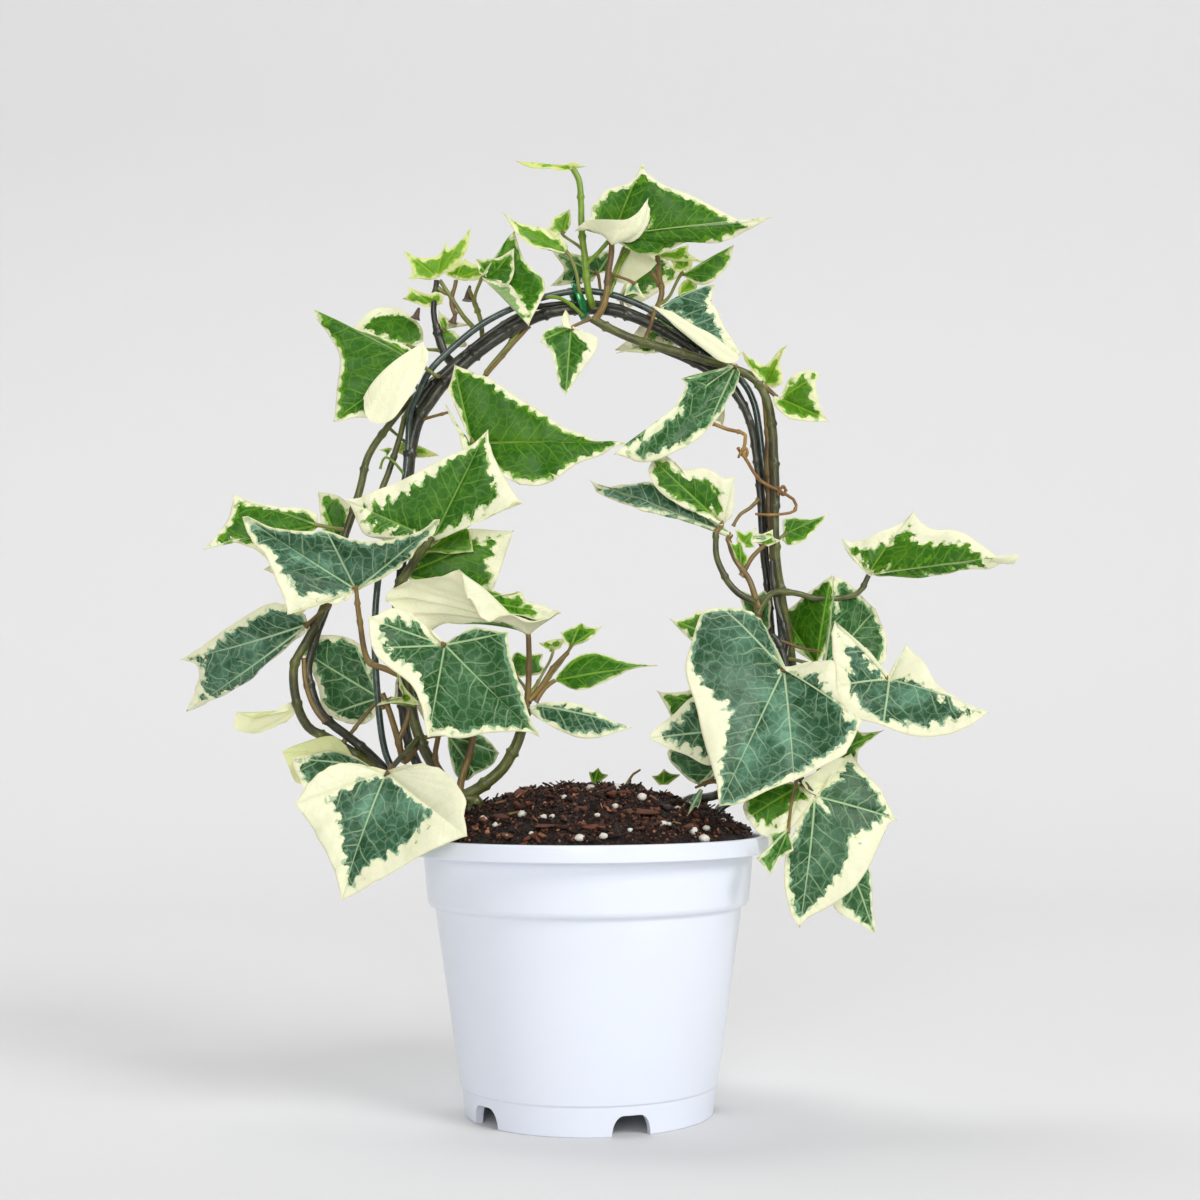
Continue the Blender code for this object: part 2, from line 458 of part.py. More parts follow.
def make_soil(parts, cutters):
    """One body of soil: a heaped top with relief, the pot's inner shape below, and holes for the stems."""
    edge = MOUTH_R - GAP
    bm = bmesh.new()
    bmesh.ops.create_grid(bm, x_segments=POT_SEGMENTS, y_segments=SOIL_RINGS, size=0.5)
    for vertex in bm.verts:
        angle = math.tau * (vertex.co.x + 0.5)
        radius = edge * (vertex.co.y + 0.5)
        x, y = radius * math.cos(angle), radius * math.sin(angle)
        vertex.co = (x, y, soil_height(x, y))
    bmesh.ops.remove_doubles(bm, verts=bm.verts, dist=1e-5)
    rim = [e for e in bm.edges if e.is_boundary]
    levels = [NECK_TOP + GAP, NECK_LOW, BAND_LOW + WALL, LEDGE_LOW - WALL, FLOOR_LOW + WALL + GAP]
    for z in levels:
        radius = pot_inner_radius(z) - GAP
        grown = bmesh.ops.extrude_edge_only(bm, edges=rim)["geom"]
        rim = [part for part in grown if isinstance(part, bmesh.types.BMEdge)]
        for vertex in {v for e in rim for v in e.verts}:
            across = Vector((vertex.co.x, vertex.co.y)).normalized() * radius
            vertex.co = (across.x, across.y, z)
    bmesh.ops.contextual_create(bm, geom=rim)
    bmesh.ops.triangulate(bm, faces=[f for f in bm.faces if len(f.verts) == 4])
    soil = mesh_object(bm, "soil", parts, recalculate=True)
    cut = soil.modifiers.new("Stem holes", "BOOLEAN")
    cut.operand_type = "COLLECTION"
    cut.collection = cutters
    cut.solver = "EXACT"
    finish(soil, material("Bark soil", (0.035, 0.02, 0.015), 0.9), sharp=math.radians(60))


def foot_points(x, y, deep=SOCKET_DEEP):
    """The upright end of a stem or wire in the soil, from the surface down."""
    top = soil_height(x, y)
    return [Vector((x, y, top + 3 * MM)), Vector((x, y, top - 4 * MM)), Vector((x, y, top - deep))]


def make_socket(name, x, y, radius, cutters):
    """The plain hole that a stem's foot stands in."""
    top = soil_height(x, y)
    bm = bmesh.new()
    bmesh.ops.create_cone(bm, cap_ends=True, segments=10, radius1=radius + 2 * GAP,
                          radius2=radius + 2 * GAP, depth=SOCKET_DEEP + 12 * MM)
    bmesh.ops.translate(bm, verts=bm.verts, vec=(x, y, top + 6 * MM - SOCKET_DEEP / 2 - GAP))
    as_guide(mesh_object(bm, name, cutters))


def make_hoop(parts, sockets):
    """One coated wire, bent to a teardrop arch, with both legs pushed into the soil."""
    left = foot_points(-HOOP_FOOT_X, 0)[::-1]
    right = foot_points(HOOP_FOOT_X, 0)
    hoop = tube("hoop", left + [seen(p) for p in HOOP_ROUTE] + right, WIRE_R, parts, sides=1)
    make_socket("hoop_socket_left", -HOOP_FOOT_X, 0, WIRE_R, sockets)
    make_socket("hoop_socket_right", HOOP_FOOT_X, 0, WIRE_R, sockets)
    finish(hoop, material("Green coated wire", (0.012, 0.028, 0.020), 0.25))


def make_tie(parts):
    """A flat tie wound once round the hoop and the stem under it, with a short twisted tail."""
    centre = Vector((-5.6, 1.7, 271.6)) * MM
    along = Vector((0.92, 0, 0.38))
    up = Vector((-0.38, 0, 0.92))
    turn = [centre + up * 6.2 * MM * math.cos(a) + Vector((0, 5.3 * MM * math.sin(a), 0))
            + along * 1.6 * MM * (a / math.tau - 0.5)
            for a in [math.radians(step) for step in range(20, 361, 20)]]
    tail = [turn[-1] + along * 1.8 * MM + up * 1.3 * MM, turn[-1] + along * 0.6 * MM + up * 3.4 * MM]
    tie = tube("twist_tie", turn + tail, TIE_R, parts, spacing=3 * MM, sides=1)
    finish(tie, material("Emerald tie", (0.01, 0.16, 0.08), 0.3))


def make_tendril(parts):
    """A dry tendril that hooks round in front of the hoop's right leg, with two small knots."""
    route = [seen(p) for p in TENDRIL_ROUTE]
    tube("tendril", route, 0.7 * MM, parts, spacing=4 * MM)
    knots = new_collection("Tendril knots")
    for index, (x, z, y, size) in enumerate(((53, 219, -8.5, 1.5), (66, 205.9, -7, 1.4))):
        bm = bmesh.new()
        bmesh.ops.create_icosphere(bm, subdivisions=1, radius=size * MM)
        bmesh.ops.translate(bm, verts=bm.verts, vec=seen((x, z, y)))
        mesh_object(bm, f"knot_{index}", knots)
    finish(fused("tendril", knots), material("Dry tendril", (0.24, 0.17, 0.05), 0.6))


def fused(name, collection):
    """The named object with everything in the collection joined to it, and the collection removed."""
    obj = bpy.data.objects[name]
    join = obj.modifiers.new("Grown together", "BOOLEAN")
    join.operation = "UNION"
    join.operand_type = "COLLECTION"
    join.collection = collection
    join.solver = "MANIFOLD"
    made = baked(obj, weld=1e-7)
    for part in list(collection.objects):
        bpy.data.objects.remove(part)
    bpy.data.collections.remove(collection)
    return made


def blade_mesh(leaf):
    """A leaf's blade as an open sheet: rulings from the joint through lobed edges, curled and arched."""
    joint = seen(leaf.joint)
    lobes = [seen(p) for p in leaf.lobes]
    curls = {i: seen(p) for i, p in leaf.curls.items()}
    sinuses = list(leaf.sinuses) or [SINUS] * (len(lobes) - 1)
    if leaf.heel:
        middle = lobes[len(lobes) // 2]
        back = (middle - joint) * HEEL_BACK
        heels = [joint + ((lobe - joint) - back) * HEEL for lobe in (lobes[0], lobes[-1])]
        lobes = [heels[0], *lobes, heels[1]]
        curls = {i + 1: p for i, p in curls.items()}
        sinuses = [0.05, *sinuses, 0.05]
    facing = Vector()
    for first, second in zip(lobes, lobes[1:]):
        facing += (first - joint).cross(second - joint)
    facing.normalize()

    def on_vein(index, share):
        tip = lobes[index]
        bend = curls.get(index, joint + (tip - joint) / 2 + facing * leaf.arch * (tip - joint).length)
        return joint * (1 - share) ** 2 + bend * 2 * share * (1 - share) + tip * share ** 2

    gaps = len(lobes) - 1
    reach = max((tip - joint).length for tip in lobes)
    rings = 1 + (reach > SMALL_LEAF) + (reach > LARGE_LEAF)
    spokes = []
    for index in range(gaps):
        at_heel = leaf.heel and index in (0, gaps - 1)
        spokes += [(index, 0.0)] if at_heel else [(index, 0.0), (index, 0.5)]
    spokes.append((gaps - 1, 1.0))
    bm = bmesh.new()
    bmesh.ops.create_grid(bm, x_segments=len(spokes) - 1, y_segments=rings, size=0.5)
    for vertex in bm.verts:
        index, between = spokes[round((vertex.co.x + 0.5) * (len(spokes) - 1))]
        share = (vertex.co.y + 0.5) * (1 - sinuses[index] * math.sin(math.pi * between))
        first, second = on_vein(index, share), on_vein(index + 1, share)
        eased = (1 - math.cos(math.pi * between)) / 2
        across = second - first
        vertex.co = first + across * between + facing * facing.dot(across) * (eased - between)
    bmesh.ops.remove_doubles(bm, verts=bm.verts, dist=1e-6)
    bmesh.ops.triangulate(bm, faces=bm.faces)
    return bm


def make_blade(name, leaf, collection):
    blade = mesh_object(blade_mesh(leaf), name, collection)
    thick = blade.modifiers.new("Thickness", "SOLIDIFY")
    thick.thickness = BLADE
    thick.offset = 0
    return baked(blade)


def make_petiole(name, leaf, collection):
    """The leaf's stalk, from just inside the blade to the stem."""
    joint = seen(leaf.joint)
    middle = seen(leaf.lobes[len(leaf.lobes) // 2])
    inside = joint + (middle - joint).normalized() * 1.6 * MM
    route = [inside, joint, *[seen(p) for p in leaf.petiole]]
    return tube(name, route, PETIOLE_R, collection, end_radius=PETIOLE_R * 1.15, sides=PETIOLE_SIDES)


def make_vine(name, vine, parts, sockets):
    """A leafy stem: its stem from the soil up, with its branches, petioles and leaves fused to it."""
    x, y = vine.foot[0] * MM, vine.foot[1] * MM
    route = foot_points(x, y)[::-1] + [seen(p) for p in vine.stem]
    radius = vine.radius * MM
    tube(name, route, radius, parts, end_radius=radius * 0.7)
    make_socket(f"{name}_socket", x, y, radius, sockets)
    grown = new_collection(f"{name} leaves")
    for index, (branch_radius, points) in enumerate(vine.branches):
        tube(f"{name}_branch_{index}", [seen(p) for p in points], branch_radius * MM, grown,
             end_radius=branch_radius * 0.8 * MM)
    for index, leaf in enumerate(vine.leaves):
        make_petiole(f"{name}_petiole_{index}", leaf, grown)
        make_blade(f"{name}_blade_{index}", leaf, grown)
    finish(fused(name, grown), material(f"Leaves of {name}", vine.colour, 0.4))


def main():
    clear_scene()
    parts = new_collection("Potted wax ivy")
    notches = new_collection("Foot notch cutters")
    sockets = new_collection("Stem hole cutters")
    make_hoop(parts, sockets)
    make_tie(parts)
    make_tendril(parts)
    make_vine("outer_vine", OUTER_VINE, parts, sockets)
    make_vine("inner_vine", INNER_VINE, parts, sockets)
    make_vine("centre_vine", CENTRE_VINE, parts, sockets)
    make_vine("right_vine", RIGHT_VINE, parts, sockets)
    make_vine("right_leg_vine", RIGHT_LEG_VINE, parts, sockets)
    make_vine("low_right_vine", LOW_RIGHT_VINE, parts, sockets)
    make_pot(parts, notches)
    make_soil(parts, sockets)


main()
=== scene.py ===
"""Looks of the potted wax ivy: leaves, stems, hoop, tie, tendril, pot, soil and a pale studio.

Places on the plant are readings (x, z, y) in millimetres, as in the part's source: x and z are read
on the upright plane through the pot's axis, as seen from EYE, and y is the depth.
"""

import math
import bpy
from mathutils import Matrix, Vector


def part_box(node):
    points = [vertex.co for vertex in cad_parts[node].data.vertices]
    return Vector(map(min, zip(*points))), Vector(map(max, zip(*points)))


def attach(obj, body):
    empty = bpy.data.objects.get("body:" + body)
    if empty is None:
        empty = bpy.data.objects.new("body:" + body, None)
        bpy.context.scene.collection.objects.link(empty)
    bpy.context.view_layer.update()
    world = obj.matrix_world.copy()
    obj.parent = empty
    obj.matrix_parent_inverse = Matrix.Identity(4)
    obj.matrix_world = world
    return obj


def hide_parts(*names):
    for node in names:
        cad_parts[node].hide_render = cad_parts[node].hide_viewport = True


bl_info = {
    "name": "Potted wax ivy looks",
    "version": (1, 0, 0),
    "blender": (4, 5, 0),
    "location": "View3D > Sidebar > Potted ivy",
    "description": "Builds the visible pieces of a variegated ivy on a hoop around the packed frame",
    "category": "Object",
}

from collections import namedtuple

import bmesh
import bpy
import numpy as np
from mathutils import Matrix, Vector, noise

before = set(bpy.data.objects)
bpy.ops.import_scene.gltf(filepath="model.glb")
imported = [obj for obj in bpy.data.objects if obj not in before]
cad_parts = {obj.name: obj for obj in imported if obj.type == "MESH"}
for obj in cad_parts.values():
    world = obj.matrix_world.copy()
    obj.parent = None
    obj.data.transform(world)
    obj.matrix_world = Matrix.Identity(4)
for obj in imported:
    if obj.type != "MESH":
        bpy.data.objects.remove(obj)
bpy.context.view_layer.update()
POT_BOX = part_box("pot")

MM = 0.001
EYE = Vector((4.3, -605.4, 123.6)) * MM  # where the plane's readings are seen from, and the camera's place
SEED = 11

# Pot, driven by its frame box
RIM_R = POT_BOX[1][0]
RIM_TOP = POT_BOX[1][2]
RIM_LOW = RIM_TOP - 5.4 * MM
MOUTH_R = RIM_R - 2.7 * MM
MOUTH_LOW = 87.6 * MM
NECK_TOP = 85.9 * MM
BAND_TOP_R = RIM_R - 5.2 * MM
BAND_LOW_R = RIM_R - 6.7 * MM
BAND_LOW = 69.3 * MM
LEDGE_R = RIM_R - 9.2 * MM
LEDGE_LOW = 67.2 * MM
STEP_R = 42.4 * MM
STEP_Z = 9.6 * MM
FOOT_R = 40.9 * MM
FOOT_INNER_R = 38.3 * MM
WALL = 1.5 * MM
FLOOR_LOW = 5.6 * MM
NOTCHES = 5
NOTCH_FIRST_ANGLE = math.radians(-53)  # from the front, towards +X
NOTCH_HALF, NOTCH_TOP_HALF, NOTCH_HIGH = 6.3 * MM, 2.7 * MM, 6.5 * MM
NOTCH_UPRIGHT = 0.6 * MM  # height at which a notch starts to arch

# Soil
GAP = 0.35 * MM
SOIL_EDGE_Z = 88.2 * MM
SOIL_HEAP = 18.0 * MM
SOIL_RELIEF = 2.2 * MM
SOIL_AROUND, SOIL_RINGS = 220, 46
BARK_SIZE = 7.0 * MM
SOCKET_DEEP = 26.0 * MM
CHIP_BROWN = 0.84  # where chips and beads stand between the darkest and the lightest bark
FIBRES_PER_METRE = 300  # scale of the bark's fibres on the ground, the chips and the beads

# Hoop, stems and stalks
HOOP_FOOT_X = 44.0 * MM
STEM_STEP = 2.5 * MM
STALK_STEP = 1.5 * MM
STALK_INSIDE = 1.2 * MM  # how far a stalk reaches into its blade
STEM_SKINS = {  # ground, streak and patch colours, and roughness
    "olive": ((80, 86, 38), (128, 130, 68), (48, 42, 27), 0.36),
    "dark": ((42, 42, 32), (92, 92, 68), (22, 20, 18), 0.3),
    "brown": ((122, 98, 48), (162, 138, 76), (90, 66, 38), 0.4),
    "fresh": ((118, 124, 50), (158, 162, 84), (98, 88, 42), 0.38),
    "bud": ((98, 72, 52), (136, 106, 78), (60, 42, 33), 0.5),
    "young": ((112, 148, 26), (152, 180, 62), (98, 126, 32), 0.36),
}

# Leaves
HEEL = 0.34  # how far a plain leaf's heels stand out beside its joint
HEEL_BACK = 0.62
SINUS = 0.22  # how deep a plain leaf is cut between its lobes
ARCH = 0.07
THICK = 0.45 * MM
FAR = 50 * MM  # as far from a main vein as a blade's place can be
LARGE_LEAF = 50 * MM  # reach from which a leaf's waves, puffs and roll are at their full size
LONG_STALK_LEAF = 45 * MM
SMALL_LEAF, SMALL_NET = 20 * MM, 0.7  # below this reach the net is finer
SIDE_VEINS = 5.6  # millimetres from one side vein to the next

# A leaf's tone sets its greens by age and how much painted sheen it gets: the lower, the more
Leaf = namedtuple("Leaf", "joint lobes petiole fine ribs sinuses curls arch tone cream tips under",
                  defaults=((), (), (), (), {}, ARCH, 0.2, 3.0, None, False))
Vine = namedtuple("Vine", "foot radius kind stem branches leaves taper net", defaults=(0.7, 1.0))


def spots(text):
    """Readings written as "x z y, x z y", as tuples of numbers."""
    return tuple(tuple(float(n) for n in spot.split()) for spot in text.split(",") if spot.strip())


def leaf_at(joint, lobes, petiole="", fine="", **more):
    """A leaf by its joint, its lobes' tips, its stalk and the margin's points between the lobes."""
    gaps = tuple(spots(gap) for gap in fine.split(";")) if fine else ()
    return Leaf(*spots(joint), spots(lobes), spots(petiole), gaps, **more)


def vine_at(foot, radius, kind, stem, branches, leaves, **more):
    """A vine by its foot, its stem's route, its branches' radii, skins and routes, and its leaves."""
    branches = [(size, skin, spots(route)) for size, skin, route in branches]
    return Vine(*spots(foot), radius, kind, spots(stem), branches, leaves, **more)


# Hoop, vines, tendril and soil: routes, branches and leaves

HOOP_ROUTE = spots("-52 103 0,-60 108 0,-67.5 117 0,-70.8 140 0,-71.5 165 0,-69 185 0,-64.5 200 0,-61 214 0,"
    "-60 232 0,-57 240 0,-53 248 0,-45 256 0,-35 264 0,-23 270 0,-10 274 0,0 275 0,10 273.4 0,20 269.3 0,"
    "30 263.2 0,38 256.5 0,50 247 0,57 236 0,60 215 0,63 195 0,65 165 0,65 148 0,62 125 0,57 111 0,51 103 0")

# The leafy stem that runs up outside the hoop on the left and over its top
OUTER_VINE = vine_at("-43 13", 1.9, "olive",
    stem="-58 106 12,-68 112 10,-75 116 8,-85 122 6,-94 127 4,-98 137 2,-98.5 148 2,-92 160 2,-86 175 2,"
    "-82 191 2,-77 207 2.5,-74 219 3.5,-68 228 4.5,-61 236 5,-54 243 5,-45 249 4.5,-35 257 4,-22 264 3.5,"
    "-8 268.5 3.5,5 269 3.5,17 266 4,25 262 5",
    branches=(
        (1.3, "young", "2 268.5 3,2.2 270.3 -1,1.2 274 -3.6,0 282 -3.8,-1.2 294 -4,-1.5 306 -4,-2.4 314 -4,"
         "-4.2 317.5 -4"),
        (1.2, "dark", "-45 249 4.5,-48.5 253 5.5,-50.5 260 6,-52 268 6,-51 279 5"),
        (1.7, "dark", "-44.5 249 4.5,-47.5 252 5.5,-49.5 257 6,-51.2 263.5 6"),
        (0.9, "fresh", "-38 262 3,-42 266.5 4.5,-46 273 5,-50 279 4"),
        (0.8, "fresh", "-50.5 276 5.5,-46 274 5,-44.5 279 4"),
        (0.9, "fresh", "-35 257 4,-36 265 5,-38 271 4,-40 276 3"),
        (1.5, "bud", "-40.4 271.8 4,-40.2 274.5 4,-39.6 277 4"),
        (1.4, "bud", "-58.3 265.6 8,-57.6 267.6 8,-57 269.4 8"),
        (1.3, "bud", "-45.6 264 5,-44.8 266 5,-44.4 267.6 5"),
        (0.8, "brown", "-44.5 267 5,-46 271 5,-44.3 279 4"),
        (1.1, "brown", "20 265 4.2,24 268.5 5,25.8 274 5,24.8 281 4.5,24.5 287 4"),
        (1, "brown", "25.2 277 4.6,23 280.5 5,20.5 283 5"),
        (2.1, "dark", "-61 205 2,-60 218 1,-57.5 229.5 1,-52.5 238 1,-46 245.5 1,-36 254.5 1,-24 262.5 1,"
         "-12 267.5 1,0 268.8 1,12 267.3 1,24 262.3 1,34 256 1,43 248 1"),
        (1, "dark", "-58 235 2,-51 245 2.5,-41 254 2,-30 262.5 2,-18 268.8 2,-4 271 2,9 270 2,21 265.5 2.5,"
         "31 260 2.5,39 254 2.5"),
        (1.6, "dark", "-66 111 9,-73 117.5 8,-80 123.5 6,-86 128 4.5,-90 132.5 4,-92.5 139 4,-94 147 5,"
         "-91 158 5,-86.5 171 5,-82 186 5"),
        (1, "brown", "-88 128.5 3,-92 134 3,-94.5 141 3,-95.5 150 3.5"),
        (0.8, "brown", "-19.5 263 3,-27 254.5 3,-34 246 1"),
        (0.7, "young", "-17 272 1,-12 273 -1,-8 272.3 -2,-4 269.5 -3.5,-1 266.5 -4.5"),
        (0.6, "brown", "-60.5 229 3,-55 231 0,-50 232.5 -3,-46.5 233.5 -4"),
        (0.5, "young", "-61.5 211.5 0,-65 216 -2,-68.5 218.2 -2,-70 214 -1"),
    ),
    leaves=(
        leaf_at("-94 161.5 0", "-103 168.2 -4,-137.5 149.5 16,-135 132 19,-112 144.5 17", "-87 168 2",
            "-95 164.5,-98.5 167;-107 168.2,-111 166.8,-122 159.8,-130 154.2;-131.6 146.8,-132.2 138.5;"
            "-129 133.5,-124 136;-102 152,-93.5 160.2", ribs=(3,), tone=0.15, cream=(2, 3.5, 5, 4.5),
            tips=(1, 2)),
        leaf_at("-91 195 1", "-120 205.5 0,-130 186.8 -5,-108 183 0", "-81.5 193 2",
            "-91 198.5,-95.5 200.8,-105 201.7,-114 203.2;-120.4 201.5,-121.6 197.3,-125.5 191.8;-120 188.6,"
            "-113 187;-100 186,-94 190", tone=1, cream=2.2),
        leaf_at("-84.5 190 7", "-91 206.3 10,-78.8 198.5 11", "-82 187 2",
            "-87.5 190.5,-89.7 194;-87 205.9,-83.5 204.6,-80.3 201.5;-80.3 194,-82.3 190.8", tone=0.75,
            cream=1.8),
        leaf_at("-96.5 133.5 4", "-108 131 3,-118 132.1 8,-111 125.2 10", "-97.5 137 2",
            "-98.5 135.5;-112 130.4,-115.5 130.9;-118.5 129,-118 126.5,-115.5 125.3;-106 126.4,-101 128.5",
            tone=1.5, cream=9, tips=(1,), under=True),
        leaf_at("-72 113 0", "-84 118.8 1,-99.2 116.5 -5,-95 105.5 -8,-80 102 -6", "-76 114.5 4,-78 117.5 7",
            "-79 117.5;-89 118.9;-99 113.5;-90 103,-85 101.5;-75 105", tone=0.25, cream=(1.2, 2.8, 3, 2),
            tips=(1, 2)),
        leaf_at("-79 117 4", "-86 123.8 4,-102.5 118.5 1,-97 108 -3", "",
            "-81 120.5;-100 120;-99.5 111.5;-90 110", tone=1.4, cream=12, tips=(1,)),
        leaf_at("-70 136.5 6", "-79 156.2 10,-97.2 153.5 13,-88 130.5 11,-78 127.5 8",
            "-76 129 6,-82 121.5 6.5",
            "-71.5 145,-74 152;-90 157.8,-94.8 156.4;-96 150.8,-93.5 147.5,-90.2 137,-89.4 132.5;-81 128;"
            "-75.2 127.6,-72.2 129.6,-70.3 132.5", ribs=(0, 3), tone=0.3, cream=(2.5, 2.6, 2.2, 3),
            tips=(1, 2)),
        leaf_at("-62 223.5 8", "-64 219.5 9,-50 218.5 6,-55 221.5 7", "-68 228.8 4.5",
            "-64.5 222;-60 218.3,-55 217.8;;-59 222.8", tone=1.8, cream=1.2, tips=(1,)),
        leaf_at("-66 221 3", "-71 220.5 2,-68 217.8 3", tone=0.9, cream=0.6),
        leaf_at("-58 251 -8", "-72 261 -8,-93.2 269.2 -17,-84 252 -13,-86 230.2 -13,-73 232 -14",
            "-54.5 248.5 -4.5,-50.5 245.5 -2.5,-50 245.7 4.8",
            "-60 255.5;-82 262.6,-87 263.7,-91 266.3;-91.8 265.4,-86 257.2;-85.3 240;-82.5 230.4,-78 231.7;"
            "-65 237,-59.5 243.5", ribs=(0,), tone=0.75, cream=(1.2, 1, 1.4, 1.4, 3), tips=(1, 3)),
        leaf_at("-55.5 257 -10", "-54.3 250.5 -15,-66 231 -19,-75.5 233.8 -17,-76 238.6 -15.5,-62 243.5 -14",
            "", "-54 254;-56.2 245.5,-62.3 235.5;-69 229.6,-72.6 229.9;;-71.5 239.6,-67.5 240.8;-59.4 246.3,"
            "-57.8 250.5", arch=-0.2, tone=0.8, cream=40, tips=(3,), under=True),
        leaf_at("-60 256 9", "-60 266.8 12,-70 269.8 14,-79.5 261.5 12", "-54 255 7,-49.3 254.6 5.6",
            "-55.5 258,-56 262.5;-63.5 269,-67 269.8;-74 267.9,-77.5 264.8;-74 258.5,-67 256", tone=1.1,
            cream=(1.5, 4.5, 4), tips=()),
        leaf_at("-51 280 5", "-39.3 297.5 3,-47.9 293.5 5,-62.5 289.5 5,-61 279.6 3", "",
            "-45.5 283,-42 287,-40 291.5;-45.8 290.4,-47.3 290.4;-50 288.4,-53.5 286.7,-58 287;-59.8 283.6,"
            "-59.4 281.6;-53.5 279", tone=1.6, cream=0.9),
        leaf_at("-44.5 279.5 4", "-33.5 283.3 1,-41.5 286.5 3,-49 282.3 0", "",
            "-41.5 278.8,-37.5 278.9,-35 280.3;-39 285;-46.5 282.8;-47.5 280.5", tone=1.5, cream=0.9),
        leaf_at("-33 279.5 -4", "-37.6 286.3 -3,-24.8 290 -8,-26.6 277.6 -11", "",
            "-36.5 281.5;-29.5 287;-24.6 284.5;-29.5 277.3", tone=1, cream=(1, 1.2, 0.8), tips=(0, 1)),
        leaf_at("-51.5 270 6", "-48.5 273.5 4,-61.3 277 4,-62.8 272.6 5", "",
            "-49 270.8;-51 275,-54 274.3;-60.6 274.6;-54.5 269.6", tone=1.5, cream=0.8),
        leaf_at("-48 262 7", "-39 263.5 7,-50.5 268.8 8,-51 256 7,-41 256 7", "-51 262 6", tone=1.2, cream=1.2,
            tips=(0, 1)),
        leaf_at("-35.5 280 -3", "-25 276.5 -10,-19.5 263 -15,-14 278 -7,-24.5 296.5 -5",
            "-38 273 1,-37 268 4.8", "-35 278.7;;-14.3 274;-15 279.8,-20.3 285;-26.3 288.2,-28.8 285.3",
            tone=0.7, cream=(1, 2.2, 0.8, 0.9), tips=(1, 3)),
        leaf_at("-6 288 -5", "-16 290.5 -9,-28.3 302.6 -10,-15 297.3 -3",
            "-3.6 282 -5,-2.4 276.5 -4.5,-1.5 271 -1,-1.5 269 3",
            "-12 290;-20 292.4,-24 295.7;-24 299.1;-11 295.6,-8.3 293.8,-6.2 291", tone=1.4,
            cream=(0.5, 1, 2.6), tips=(1,)),
        leaf_at("-8 294.5 1", "-4.9 299 2,-5.3 303.7 2,-12.3 296 1", "-1.4 290 -4",
            "-6 296.3;;-10.8 300.5;-10.5 294.8", tone=1.4, cream=1, tips=(1,)),
        leaf_at("-4 317.5 -4", "0.7 318.3 -4,-15 319.3 -6,-24 320.5 -8,-13 317.8 -8", "",
            "-2 318.5;-3.5 319.8,-8 319.2;-20 320.3;-19 318.4;-7 316.8", tone=1.8, cream=0.6, tips=(0, 2)),
        leaf_at("-39 222.5 -4", "-48 236 -6,-23 208.8 -11,14.5 222.9 -11,-29 242.3 -5,-45 250 -3",
            "-37 236 0,-34 247 2,-26 257 2.5,-22 263 3.5",
            ";-47.3 232.8,-42.4 227.6,-41 220,-36 215;-19 208.2,-14 208.7,-10 210.3,-3.5 215.3,4.5 218.2,"
            "9 220.8;10 222.8,5 223.4,-5 227.2,-10 229.6,-20 236.6;-37 247.1;-47.4 241.5", ribs=(0,), tone=0.62,
            cream=(1.6, 2.2, 1.2, 2.4, 1.4), tips=(1, 2, 4)),
        leaf_at("4 281 10", "-12 277 8,-12.5 290 8,10 290.5 12", "5 275 8,6 269 4", tone=0.4, cream=1.6),
        leaf_at("33 257 9", "33.5 262.5 10,22.3 270 9,9.7 254.5 9,22 253.3 9", "28 260 7,24.8 262 5",
            "34.5 259.5;28 267;19.4 264.5,15 258.5;15.5 253.6;28.5 254", tone=0.5, cream=(1.2, 4, 6, 2.4),
            tips=(1, 2)),
        leaf_at("24.5 287 4", "43 284.5 1,36 291.5 2,28 289.5 4", sinuses=(0.2, 0.3), tone=1.5, cream=1.2),
        leaf_at("32.5 280.5 3", "43 278 0,50.8 290.7 -2,40 284 2", "28.5 273 4,24.5 269.5 5",
            "37 277.6,39.7 276.8;46 280.5,48.6 283.6,50 287;49.3 288.4,47 286.5;36.5 282.7", tone=1,
            cream=(1, 0.8, 0.8), tips=(1,)),
        leaf_at("33.5 282 4", "36.5 285.5 4,33 288.5 5,27.5 287.5 5,29.8 282.5 4", tone=1.5, cream=1,
            tips=(1, 2)),
        leaf_at("31.5 273.5 4", "37.5 275.3 3,36.4 279.3 4", "", "34 273.6;38 277;33.5 278.4,31.6 276",
            tone=1.7, cream=0.5, tips=(1,)),
        leaf_at("-62 247 12", "-60 262 22,-82 264 32,-84 240 26", "-57 241.5 5", tone=0.5),
        leaf_at("-88 184 12", "-78 178 20,-100 160 34,-110 180 26", "-83.3 186 2", cream=3.5),
        leaf_at("12 272 14", "18 288 20,34 300 30,36 282 22", "12.5 269 8,12.5 267.2 3.7", tone=0.8),
    ), taper=0.45, net=1.26)

